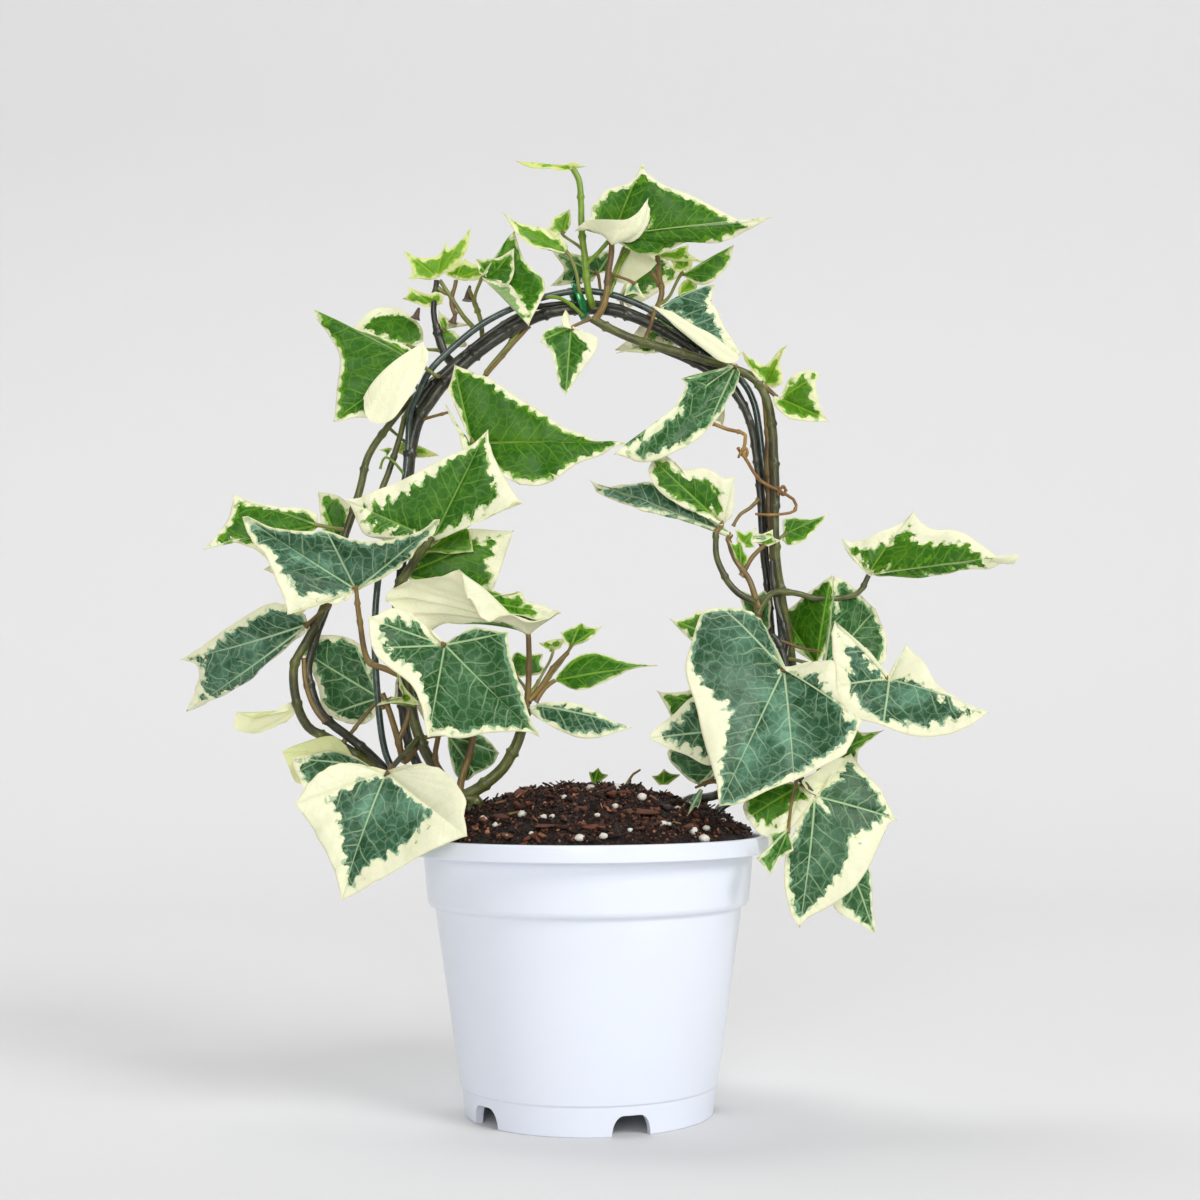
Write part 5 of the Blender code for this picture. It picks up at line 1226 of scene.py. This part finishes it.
def leaves_object(name, leaves, first_seed, net=1.0):
    """All blades of one vine as one mesh with the attributes blade, look and between."""
    faces, values, start = [], [], 0
    for index, leaf in enumerate(leaves):
        made, *rows = leaf_blade(leaf, first_seed + index, net)
        faces += [tuple(i + start for i in face) for face in made]
        values.append(rows)
        start += len(rows[0])
    places, *kept = (np.concatenate(rows) for rows in zip(*values))
    mesh = bpy.data.meshes.new(name)
    mesh.from_pydata(places, [], faces)
    for label, rows in zip(("blade", "look", "between"), kept):
        keep_values(mesh, label, rows)
    mesh.materials.append(made_once(bpy.data.materials, "Variegated blade", leaf_material))
    obj = new_object(name, mesh)
    shade_smooth(obj, 75)
    return obj


# Stems and vines

def stems_object(name, routes, material, **values):
    """Stems along routes, each a list of (place, radius) or (place, radius, tilt), as one object."""
    curve = bpy.data.curves.new(name, "CURVE")
    curve.dimensions = "3D"
    for route in routes:
        spline = curve.splines.new("POLY")
        spline.points.add(len(route) - 1)
        for point, (spot, radius, *tilt) in zip(spline.points, route):
            point.co = (*spot, 1)
            point.radius = radius
            point.tilt = tilt[0] if tilt else 0.0
    settings = {"Seed": float(SEED), "Skin": material, **values}
    made = with_nodes(new_object(name, curve), "Stems along routes", stem_tree, settings, name)
    for label in ("round", "run"):
        if label in made.data.attributes:
            made.data.attributes.remove(made.data.attributes[label])
    return made


def stem_route(points, radius, end_radius):
    """A smooth route with a radius that tapers evenly along it."""
    route = smooth_route(points, STEM_STEP)
    return [(spot, radius + (end_radius - radius) * i / (len(route) - 1)) for i, spot in enumerate(route)]


def petiole_route(leaf, radius):
    """A leaf's stalk from just inside the blade to the stem, thicker at both ends."""
    joint = seen(leaf.joint)
    middle = seen(leaf.lobes[len(leaf.lobes) // 2])
    inside = joint + (middle - joint).normalized() * STALK_INSIDE
    route = smooth_route([inside, joint, *[seen(p) for p in leaf.petiole]], STALK_STEP)
    last = len(route) - 1
    return [(spot, radius * (0.72 + 0.28 * abs(2 * i / last - 1) ** 3 + 0.25 * (i / last) ** 6))
            for i, spot in enumerate(route)]


def soil_height(x, y):
    """The heap's surface as in the part's source, before the fine grit."""
    edge = MOUTH_R - GAP
    inside = max(0.0, 1 - (x * x + y * y) / edge ** 2)
    lumps = noise.noise(Vector((x, y, 3 * MM)) / BARK_SIZE)
    grit = noise.noise(Vector((x, y, 9 * MM)) / (0.4 * BARK_SIZE))
    relief = SOIL_RELIEF * (lumps + 0.5 * grit) * min(1.0, 4 * inside)
    return SOIL_EDGE_Z + SOIL_HEAP * inside ** 0.8 + relief


def foot_points(x, y):
    """The upright end of a stem or wire in the soil, from the surface down."""
    top = soil_height(x, y)
    return [Vector((x, y, z)) for z in (top + 3 * MM, top - 4 * MM, top - SOCKET_DEEP)]


def vine_object(name, vine, first_seed):
    """One vine's stem, branches, petioles and leaves as one object with a slot for each skin."""
    radius = vine.radius * MM
    stem = foot_points(*(n * MM for n in vine.foot))[::-1] + [seen(p) for p in vine.stem]
    by_kind = {vine.kind: [stem_route(stem, radius, radius * vine.taper)]}
    for branch_radius, kind, points in vine.branches:
        end = 0.3 if kind == "bud" else 0.8
        route = stem_route([seen(p) for p in points], branch_radius * MM, branch_radius * end * MM)
        by_kind.setdefault(kind, []).append(route)
    for leaf in vine.leaves:
        if leaf.petiole:
            kind = "young" if leaf.tone > 1.7 else "fresh" if leaf.tone > 0.55 else "brown"
            thick = (0.6 + 0.35 * min(1.0, leaf_reach(leaf) / LONG_STALK_LEAF)) * MM
            by_kind.setdefault(kind, []).append(petiole_route(leaf, thick))
    pieces = [leaves_object(name + "_leaves", vine.leaves, first_seed, vine.net)]
    pieces += [stems_object(f"{name}_{kind}", routes, stem_material(kind)) for kind, routes in by_kind.items()]
    return joined(pieces, name + "_plant")


# Pot

def pot_inner_radius(z):
    """Inside radius of the wall at height z, below the mouth's ledge."""
    stops = ((FLOOR_LOW, STEP_R - WALL), (LEDGE_LOW, LEDGE_R - WALL), (BAND_LOW, BAND_LOW_R - WALL),
             (RIM_LOW, BAND_TOP_R - WALL))
    for (low, low_radius), (high, high_radius) in zip(stops, stops[1:]):
        if z <= high:
            return low_radius + (high_radius - low_radius) * (z - low) / (high - low)
    return stops[-1][1]


def rounded_profile(corners, steps=5):
    """A line of (radius, z, fillet) corners with each corner turned into a small arc."""
    places = [Vector((r, z)) for r, z, _ in corners]
    line = [places[0]]
    for (_, _, fillet), before, here, after in zip(corners[1:-1], places, places[1:], places[2:]):
        back, on = before - here, after - here
        cut = min(fillet, back.length * 0.45, on.length * 0.45)
        if cut <= 0:
            line.append(here)
            continue
        start, end = here + back.normalized() * cut, here + on.normalized() * cut
        for step in range(steps + 1):
            t = step / steps
            line.append(start.lerp(here, t).lerp(here.lerp(end, t), t))
    return [*line, places[-1]]


def notch_cutter(angle):
    """An arched block that cuts one notch out of the foot."""
    section = [(-NOTCH_HALF, -NOTCH_HIGH), (NOTCH_HALF, -NOTCH_HIGH), (NOTCH_HALF, NOTCH_UPRIGHT)]
    for step in range(1, 11):
        t = math.pi / 2 * step / 10
        section.append((NOTCH_HALF - (NOTCH_HALF - NOTCH_TOP_HALF) * (1 - math.cos(t)),
                        NOTCH_UPRIGHT + (NOTCH_HIGH - NOTCH_UPRIGHT) * math.sin(t)))
    section += [(-x, z) for x, z in section[:1:-1]]
    bm = bmesh.new()
    front, back = [[bm.verts.new((x, y, z)) for x, z in section] for y in (-6 * MM, 6 * MM)]
    bm.faces.new(front)
    bm.faces.new(back[::-1])
    for i in range(len(section)):
        j = (i + 1) % len(section)
        bm.faces.new((front[j], front[i], back[i], back[j]))
    bmesh.ops.recalc_face_normals(bm, faces=bm.faces)
    foot = Matrix.Translation((math.sin(angle) * FOOT_R, -math.cos(angle) * FOOT_R, 0))
    bmesh.ops.transform(bm, matrix=foot @ Matrix.Rotation(angle, 4, "Z"), verts=bm.verts)
    return object_of(bm, "notch")


def pot_object():
    """The moulded pot: a turned wall with rounded edges, cut by the foot's arched notches."""
    settings = bpy.context.scene.ivy_pot
    round_edge, soft = settings.edge_rounding, 0.5 * MM
    floor_top = FLOOR_LOW + WALL
    inside = [(0, floor_top, 0), (pot_inner_radius(floor_top), floor_top, 2 * MM)]
    inside += [(pot_inner_radius(z), z, soft) for z in (LEDGE_LOW - WALL, BAND_LOW + WALL, NECK_TOP)]
    rim = [(MOUTH_R, MOUTH_LOW, soft), (MOUTH_R, RIM_TOP, round_edge), (RIM_R, RIM_TOP, round_edge),
           (RIM_R, RIM_LOW, soft)]
    outside = [(BAND_TOP_R, RIM_LOW, 0.7 * MM), (BAND_LOW_R, BAND_LOW, 0.9 * MM),
               (BAND_LOW_R - 0.7 * MM, BAND_LOW - 1.2 * MM, soft), (LEDGE_R, LEDGE_LOW, 0.9 * MM),
               (STEP_R + 0.15 * MM, STEP_Z + 0.3 * MM, 0.25 * MM),
               (STEP_R - 0.5 * MM, STEP_Z - 0.3 * MM, 0.25 * MM)]
    foot = [(FOOT_R, 0, soft), (FOOT_INNER_R, 0, soft), (FOOT_INNER_R, FLOOR_LOW, soft), (0, FLOOR_LOW, 0)]
    line = rounded_profile([*inside, *rim, *outside, *foot])
    mesh = bpy.data.meshes.new("turned pot")
    mesh.from_pydata([(r, 0, z) for r, z in line], [(i, i + 1) for i in range(len(line) - 1)], [])
    pot = new_object("turned pot", mesh)
    turned = pot.modifiers.new("Turned", "SCREW")
    turned.steps = turned.render_steps = settings.segments
    turned.use_merge_vertices = True
    turned.merge_threshold = 1e-5
    turned.use_normal_calculate = True
    cutters = [notch_cutter(NOTCH_FIRST_ANGLE + math.tau * i / NOTCHES) for i in range(NOTCHES)]
    for cutter in cutters:
        cut = pot.modifiers.new("Notch", "BOOLEAN")
        cut.object = cutter
        cut.solver = "EXACT"
    made = baked(pot, "pot_moulded")
    for cutter in cutters:
        bpy.data.meshes.remove(cutter.data)
    made.data.materials.clear()
    made.data.materials.append(mottled_material(
        "White pot plastic", settings.colour, settings.shade, 0.3, size=25.0, grain=60.0, share=0.4, deep=0.0,
        Coat_Weight=0.15))
    shade_smooth(made, 40)
    return made


# Soil

def crumb_shape(kind):
    """A small shape one unit across, with its own place kept as an attribute for the fibres."""
    bm = bmesh.new()
    if kind in ("shard", "fibre"):
        bmesh.ops.create_cube(bm, size=1)
        bmesh.ops.subdivide_edges(bm, edges=list(bm.edges), cuts=1, use_grid_fill=True)
        bmesh.ops.smooth_vert(bm, verts=bm.verts, factor=0.35, use_axis_x=True, use_axis_y=True,
                              use_axis_z=True)
    elif kind == "lump":
        bmesh.ops.create_uvsphere(bm, u_segments=7, v_segments=4, radius=0.5)
    else:
        bmesh.ops.create_icosphere(bm, subdivisions=1, radius=0.5)
    obj = object_of(bm, kind)
    keep_own_places(obj.data, 1)
    return obj


def soil_ground():
    """The heap as one closed body: fine relief on top, and the wall and floor that touch the pot."""
    settings = bpy.context.scene.ivy_soil
    edge, bottom = MOUTH_R - GAP, FLOOR_LOW + WALL + GAP
    directions = [(math.cos(math.tau * i / SOIL_AROUND), math.sin(math.tau * i / SOIL_AROUND))
                  for i in range(SOIL_AROUND)]
    places = [(0, 0, soil_height(0, 0))]
    for ring in range(1, SOIL_RINGS + 1):
        radius = edge * ring / SOIL_RINGS
        inner = min(1.0, 8 * (1 - ring / SOIL_RINGS))
        for across, deep in directions:
            x, y = across * radius, deep * radius
            spot = Vector((x, y, 0))
            rough = noise.noise(spot / (2.2 * MM)) * 0.8 + noise.noise(spot / (1.1 * MM)) * 0.4
            places.append((x, y, soil_height(x, y) + settings.roughness * rough * inner))
    wall = ((edge, MOUTH_LOW + 0.1 * MM), (pot_inner_radius(NECK_TOP) - 2 * GAP, NECK_TOP - 0.2 * MM),
            (BAND_LOW_R - WALL - 2 * GAP, BAND_LOW + WALL),
            (LEDGE_R - WALL - 2 * GAP, LEDGE_LOW - WALL - 1 * MM),
            (pot_inner_radius(FLOOR_LOW + WALL) - 2 * GAP, bottom))
    for radius, z in wall:
        places += [(across * radius, deep * radius, z) for across, deep in directions]
    places.append((0, 0, bottom))
    total = SOIL_RINGS + len(wall)
    following = [(i, (i + 1) % SOIL_AROUND) for i in range(SOIL_AROUND)]
    faces = [(0, 1 + i, 1 + j) for i, j in following]
    for ring in range(total - 1):
        first, second = 1 + ring * SOIL_AROUND, 1 + (ring + 1) * SOIL_AROUND
        faces += [(first + i, second + i, second + j, first + j) for i, j in following]
    last = 1 + (total - 1) * SOIL_AROUND
    faces += [(last + j, last + i, len(places) - 1) for i, j in following]
    mesh = bpy.data.meshes.new("soil_heap")
    mesh.from_pydata(places, [], faces)
    obj = new_object("soil_heap", mesh)
    shade_smooth(obj)
    return obj


def on_soil(x, z, sunk):
    """Where the line of sight through a reading meets the heap, a little below its surface."""
    line = seen((x, z, 0)) - EYE
    for step in range(400):
        spot = EYE + line * (0.88 + step * 0.0006)
        if math.hypot(spot.x, spot.y) < MOUTH_R - 1 * MM and spot.z < soil_height(spot.x, spot.y) + sunk:
            return spot
    return None


def placed_bits(readings, name, behind, material, corners=2):
    """Beads or chips where the photograph shows them, and as many as behind says on the soil's far side."""
    chance = np.random.default_rng(SEED)
    places = [(on_soil(x, z, 0.3 * size[-1] * MM), size) for x, z, *size in readings]
    for _ in range(behind):
        angle, reach = chance.uniform(0, math.pi), (MOUTH_R - 4 * MM) * chance.uniform(0.1, 1) ** 0.5
        x, y = math.cos(angle) * reach, math.sin(angle) * reach
        places.append((Vector((x, y, soil_height(x, y))), places[chance.integers(len(readings))][1]))
    bm = bmesh.new()
    for index, (spot, size) in enumerate(places):
        if spot is None:
            continue
        long, wide, high, turn = size if len(size) == 4 else (size[0], size[0], 0.8 * size[0], 0)
        made = bmesh.ops.create_icosphere(bm, subdivisions=corners, radius=MM / 2)["verts"]
        for vertex in made:
            lump = noise.noise(vertex.co / (0.5 * MM) + Vector((index * 7.3, 0, 0)))
            vertex.co *= 1 + 0.45 * lump
            vertex.co = Vector((vertex.co.x * long, vertex.co.y * wide, vertex.co.z * high))
        bmesh.ops.rotate(bm, verts=made, matrix=Matrix.Rotation(turn, 3, "Z"))
        bmesh.ops.translate(bm, verts=made, vec=spot)
    obj = object_of(bm, name)
    keep_values(obj.data, "chance", np.full(len(obj.data.vertices), CHIP_BROWN))
    keep_own_places(obj.data, FIBRES_PER_METRE)
    obj.data.materials.append(material)
    shade_smooth(obj)
    return obj


def scattered(ground, kind, material, density, smallest, largest, **values):
    """One kind of crumb scattered over a copy of the ground, its sizes given in millimetres."""
    crumb = crumb_shape(kind)
    copy = ground.copy()
    copy.data = ground.data.copy()
    bpy.context.scene.collection.objects.link(copy)
    values |= {"Crumb": crumb, "Skin": material, "Per square metre": density,
               "Smallest": Vector(smallest) * MM, "Largest": Vector(largest) * MM}
    made = with_nodes(copy, "Scattered crumbs", crumb_tree, values, f"{kind}_bits")
    bpy.data.meshes.remove(crumb.data)
    return made


def soil_object():
    """The heap with bark crumbs, shards, grit and perlite on it, as one object."""
    settings = bpy.context.scene.ivy_soil
    ground = soil_ground()
    bark = bark_material("Moist bark")
    perlite = mottled_material("Perlite", tint(232, 228, 218), tint(198, 188, 172), 0.75, size=420.0,
                               grain=1500.0, share=0.7, deep=0.15 * MM)
    pieces = [
        scattered(ground, "lump", bark, settings.lumps, (0.9,) * 3, (2.7,) * 3,
                  Roughness=0.9 * MM, Lump_size=500.0, Seed=SEED, Sunk=0.3 * MM),
        scattered(ground, "grit", bark, settings.grit, (0.4,) * 3, (1.4,) * 3,
                  Roughness=0.4 * MM, Lump_size=900.0, Seed=SEED + 1, Sunk=-0.15 * MM),
        scattered(ground, "shard", bark, settings.shards, (2.4, 1, 0.5), (6, 2.6, 1.4),
                  Tilt=0.5, Roughness=0.8 * MM, Lump_size=300.0, Seed=SEED + 2, Sunk=-0.5 * MM),
        scattered(ground, "fibre", bark, settings.fibres, (2, 0.3, 0.3), (5, 0.7, 0.6),
                  Tilt=0.8, Roughness=0.7 * MM, Lump_size=350.0, Seed=SEED + 3, Sunk=-0.9 * MM),
    ]
    beads = placed_bits(PERLITE_SPOTS, "perlite_beads", 42, perlite)
    chips = placed_bits(CHIP_SPOTS, "bark_chips", 14, bark, 3)
    routes = [stem_route([seen(p) for p in spots(route)], radius * MM, 0.6 * radius * MM)
              for radius, route in SOIL_TWIGS]
    twigs = stems_object("twigs", routes, stem_material("brown"), Joint_swelling=0.2)
    sprouts = leaves_object("sprouts", SPROUTS, SEED)
    ground.data.materials.append(bark)
    # The heap takes the darkest brown: partly the soil's own colour, partly painted shade in the gaps between
    # crumbs
    keep_values(ground.data, "chance", np.zeros(len(ground.data.vertices)))
    keep_own_places(ground.data, FIBRES_PER_METRE)
    return joined([ground, beads, chips, twigs, sprouts, *pieces], "soil_mix")


# Hoop, tie and tendril

def hoop_object():
    """The coated wire, bent to a teardrop arch, with both legs in the soil."""
    settings = bpy.context.scene.ivy_support
    left, right = foot_points(-HOOP_FOOT_X, 0)[::-1], foot_points(HOOP_FOOT_X, 0)
    route = stem_route(left + [seen(p) for p in HOOP_ROUTE] + right, settings.wire_radius, settings.wire_radius)
    material = mottled_material("Dark green coated wire", tint(44, 62, 54), tint(84, 100, 92), 0.26,
                                size=200.0, share=0.6, deep=0.02 * MM, Coat_Weight=0.5, Coat_Roughness=0.12)
    return stems_object("hoop_wire", [route], material, Step=1.2 * MM, Sides=16, Joint_swelling=0.0,
                        Wander=0.15 * MM)


def tie_object():
    """A flat emerald ribbon wound once round the hoop and its stems, with a twisted tail."""
    settings = bpy.context.scene.ivy_support
    half = settings.tie_width / 2
    centre = Vector((-2.2, 1.7, 271.6)) * MM
    along, up = Vector((0.92, 0, 0.38)), Vector((-0.38, 0, 0.92))
    route = []
    for step in range(61):
        angle = math.radians(20) + math.tau * step / 61
        spot = (centre + up * 6.2 * MM * math.cos(angle) + Vector((0, 5.3 * MM * math.sin(angle), 0))
                + along * 1.6 * MM * (angle / math.tau - 0.5))
        route.append((spot, half, 0.0))
    end = route[-1][0]
    tail = smooth_route([end, end + along * 1.8 * MM + up * 1.3 * MM, end + along * 0.9 * MM + up * 3.6 * MM],
                        0.3 * MM)
    route += [(spot, half, 0.9 * i) for i, spot in enumerate(tail[1:])]
    material = mottled_material("Emerald tie", settings.tie_colour, tint(44, 158, 96), 0.26, size=500.0,
                                Metallic=0.35, Coat_Weight=0.4)
    return stems_object("tie_ribbon", [route], material, Step=0.35 * MM, Sides=10, Joint_swelling=0.0,
                        Wander=0.0, Flatness=0.3)


def tendril_object():
    """The dry tendril with its two knots, hooked round in front of the hoop's right leg."""
    routes = [stem_route([seen(p) for p in TENDRIL_ROUTE], 0.65 * MM, 0.45 * MM)]
    for *spot, size in TENDRIL_KNOTS:
        ring = []
        for i in range(22):
            a = math.tau * i / 14
            ring.append(seen(spot)
                        + Vector((math.cos(a) * size, math.sin(a) * size * 0.6, math.sin(a * 1.5) * size)) * MM)
        routes.append([(on_ring, 0.45 * MM) for on_ring in smooth_route(ring, 0.5 * MM)])
    material = fibre_material("Dry tendril", (156, 118, 56), (204, 168, 96), (112, 76, 38), 0.55,
                              coat=0.0, deep=0.15 * MM)
    return stems_object("tendril_dry", routes, material, Step=0.5 * MM, Sides=10, Joint_spacing=9 * MM,
                        Joint_swelling=0.5, Wander=0.4 * MM)


# Stage

def add_light(name, place_at, aim, size, power):
    data = bpy.data.lights.new(name, "AREA")
    data.shape = "DISK"
    data.size = size
    data.energy = power
    light = new_object(name, data)
    light.location = place_at
    light.rotation_euler = (Vector(aim) - Vector(place_at)).to_track_quat("-Z", "Y").to_euler()


def make_stage():
    """A pale floor that curves up into a backdrop, soft lights and the camera."""
    settings = bpy.context.scene.ivy_stage
    scene = bpy.context.scene
    bend, back, front, half, high = 0.9, 1.6, -2.4, 4.0, 4.0
    turns = [math.pi / 2 * i / 24 for i in range(1, 25)]
    side = [(front, 0.0), (back - bend, 0.0),
            *[(back - bend + bend * math.sin(t), bend * (1 - math.cos(t))) for t in turns], (back, high)]
    places = [(x, y, z) for x in (-half, half) for y, z in side]
    faces = [(i, i + len(side), i + 1 + len(side), i + 1) for i in range(len(side) - 1)]
    mesh = bpy.data.meshes.new("studio_floor")
    mesh.from_pydata(places, [], faces)
    mesh.materials.append(mottled_material("Studio paper", settings.floor_colour, settings.floor_colour,
                                           0.85, size=3.0, deep=0.0))
    floor = new_object("studio_floor", mesh)
    shade_smooth(floor)

    world = bpy.data.worlds.new("Soft studio")
    world.use_nodes = True
    ground = world.node_tree.nodes["Background"]
    ground.inputs["Color"].default_value = (1, 1, 1, 1)
    ground.inputs["Strength"].default_value = settings.fill
    scene.world = world
    add_light("Key light", (2.2, -2.4, 2.4), (0, 0, 0.12), 1.6, settings.key)
    add_light("Front light", (-0.4, -4.4, 1.2), (0, 0, 0.15), 2.0, settings.front)
    add_light("Top light", (-1.4, 1.2, 4.0), (-0.8, 1.4, 0.6), 2.4, settings.top)

    data = bpy.data.cameras.new("Photo camera")
    data.sensor_width = 36.0
    data.lens = 54.0
    data.clip_start = 0.05
    camera = new_object("Photo camera", data)
    tilt = Matrix.Rotation(math.pi / 2 + 0.075, 4, "X") @ Matrix.Rotation(-0.0048, 4, "Z")
    camera.matrix_world = Matrix.Translation(EYE) @ tilt
    scene.camera = camera
    scene.view_settings.view_transform = "Standard"
    scene.view_settings.look = "None"


# Settings that a user would change

def number(name, description, default, **more):
    return bpy.props.FloatProperty(name=name, description=description, default=default, **more)


def length(name, description, size):
    return number(name, description, size * MM, unit="LENGTH", precision=5)


def paint(name, description, red, green, blue):
    return bpy.props.FloatVectorProperty(name=name, description=description, subtype="COLOR", size=3,
                                         min=0, max=1, default=tint(red, green, blue)[:3])


class IvyLeafSettings(bpy.types.PropertyGroup):
    cell: length("Net size", "Size of one face of a blade", 1.0)
    vein_depth: length("Vein depth", "How far the main veins are sunk", 0.35)
    puff: length("Puff", "How far the panels between veins stand up", 0.7)
    wave: length("Wave", "Height of the waves along the margin", 0.9)
    roll: length("Roll", "How far the very edge turns down", 0.35)
    old_green: paint("Old green", "Heart of an old leaf", 20, 68, 32)
    # The light greens give the blades' own pale cells and flecks, and also their painted sheen
    old_light: paint("Old light green", "Light cells in an old leaf", 106, 154, 126)
    old_vein: paint("Old vein", "Veins of an old leaf", 190, 216, 172)
    bright_green: paint("Bright green", "Heart of a full-grown leaf", 36, 94, 2)
    bright_light: paint("Bright light green", "Light cells in a full-grown leaf", 100, 158, 16)
    bright_vein: paint("Bright vein", "Veins of a full-grown leaf", 124, 170, 52)
    young_green: paint("Young green", "Heart of a young leaf", 98, 154, 20)
    young_light: paint("Young light green", "Light cells in a young leaf", 138, 186, 32)
    cream: paint("Cream", "Margin", 241, 240, 208)
    young_cream: paint("Young cream", "Margin of a young leaf", 208, 222, 78)
    cream_edge: paint("Cream by the heart", "Margin where it meets the green", 210, 220, 152)
    rim: paint("Rim", "The outermost edge", 222, 208, 152)
    under_cream: paint("Underside cream", "Underside of the margin", 244, 243, 206)
    under_green: paint("Underside green", "Underside of the heart", 152, 182, 122)


class IvyPotSettings(bpy.types.PropertyGroup):
    segments: bpy.props.IntProperty(name="Segments", description="Steps around the pot", default=160, min=32)
    edge_rounding: length("Edge rounding", "Radius of the rim's edges", 0.8)
    colour: paint("Plastic", "Colour of the pot", 234, 239, 250)
    shade: paint("Plastic shade", "Its darker mottling", 229, 234, 245)


class IvySoilSettings(bpy.types.PropertyGroup):
    lumps: number("Lumps", "Bark lumps per square metre", 100000, min=0)
    grit: number("Grit", "Small crumbs per square metre", 370000, min=0)
    shards: number("Shards", "Flat bark chips per square metre", 14000, min=0)
    fibres: number("Fibres", "Thin bark fibres per square metre", 36000, min=0)
    roughness: length("Roughness", "Height of the fine relief", 0.9)


class IvySupportSettings(bpy.types.PropertyGroup):
    wire_radius: length("Wire radius", "Radius of the hoop's wire", 1.15)
    tie_width: length("Tie width", "Width of the tie's ribbon", 3.4)
    tie_colour: paint("Tie", "Colour of the tie", 8, 112, 52)


class IvyStageSettings(bpy.types.PropertyGroup):
    floor_colour: paint("Paper", "Colour of the floor and backdrop", 226, 226, 226)
    key: number("Key light", "Power of the light from the upper right", 74.0, min=0)
    front: number("Front light", "Power of the light from the front", 62.0, min=0)
    top: number("Top light", "Power of the light from above and behind", 70.0, min=0)
    fill: number("Fill", "Strength of the light from all around", 0.34, min=0)


# Operators, one for each piece or group of like pieces

class IvyPot(bpy.types.Operator):
    """Make the moulded plastic pot"""
    bl_idname = "ivy.pot"
    bl_label = "Pot"

    def execute(self, context):
        visible_piece(pot_object(), "pot")
        return {"FINISHED"}


class IvySoil(bpy.types.Operator):
    """Make the heaped bark mix with its crumbs and perlite"""
    bl_idname = "ivy.soil"
    bl_label = "Soil"

    def execute(self, context):
        visible_piece(soil_object(), "soil")
        return {"FINISHED"}


class IvySupport(bpy.types.Operator):
    """Make the wire hoop and the tie on it"""
    bl_idname = "ivy.support"
    bl_label = "Hoop and tie"

    def execute(self, context):
        visible_piece(hoop_object(), "hoop")
        visible_piece(tie_object(), "twist_tie")
        return {"FINISHED"}


class IvyTendril(bpy.types.Operator):
    """Make the dry tendril"""
    bl_idname = "ivy.tendril"
    bl_label = "Tendril"

    def execute(self, context):
        visible_piece(tendril_object(), "tendril")
        return {"FINISHED"}


class IvyVines(bpy.types.Operator):
    """Make every vine with its stems, petioles and variegated leaves"""
    bl_idname = "ivy.vines"
    bl_label = "Vines"

    def execute(self, context):
        for index, (name, vine) in enumerate(VINES.items()):
            visible_piece(vine_object(name, vine, 100 * index), name)
        return {"FINISHED"}


class IvyStage(bpy.types.Operator):
    """Make the pale floor, the lights and the camera"""
    bl_idname = "ivy.stage"
    bl_label = "Stage"

    def execute(self, context):
        make_stage()
        return {"FINISHED"}


class IvyPanel(bpy.types.Panel):
    """Lists the settings and the steps of the potted ivy"""
    bl_idname = "VIEW3D_PT_potted_ivy"
    bl_label = "Potted ivy"
    bl_space_type = "VIEW_3D"
    bl_region_type = "UI"
    bl_category = "Potted ivy"

    def draw(self, context):
        for name, _ in SETTINGS:
            group = getattr(context.scene, name)
            for setting in group.__annotations__:
                self.layout.prop(group, setting)
        for operator in OPERATORS:
            self.layout.operator(operator.bl_idname)


SETTINGS = (("ivy_leaves", IvyLeafSettings), ("ivy_pot", IvyPotSettings), ("ivy_soil", IvySoilSettings),
            ("ivy_support", IvySupportSettings), ("ivy_stage", IvyStageSettings))
OPERATORS = (IvyPot, IvySoil, IvySupport, IvyTendril, IvyVines, IvyStage)


def register():
    for name, group in SETTINGS:
        bpy.utils.register_class(group)
        setattr(bpy.types.Scene, name, bpy.props.PointerProperty(type=group))
    for made in (*OPERATORS, IvyPanel):
        bpy.utils.register_class(made)


def unregister():
    for made in reversed((*OPERATORS, IvyPanel)):
        bpy.utils.unregister_class(made)
    for name, group in reversed(SETTINGS):
        delattr(bpy.types.Scene, name)
        bpy.utils.unregister_class(group)


def main():
    """Builds the whole plant in order."""
    register()
    for step in (bpy.ops.ivy.pot, bpy.ops.ivy.soil, bpy.ops.ivy.support, bpy.ops.ivy.tendril,
                 bpy.ops.ivy.vines, bpy.ops.ivy.stage):
        step()


if __name__ == "__main__":
    main()
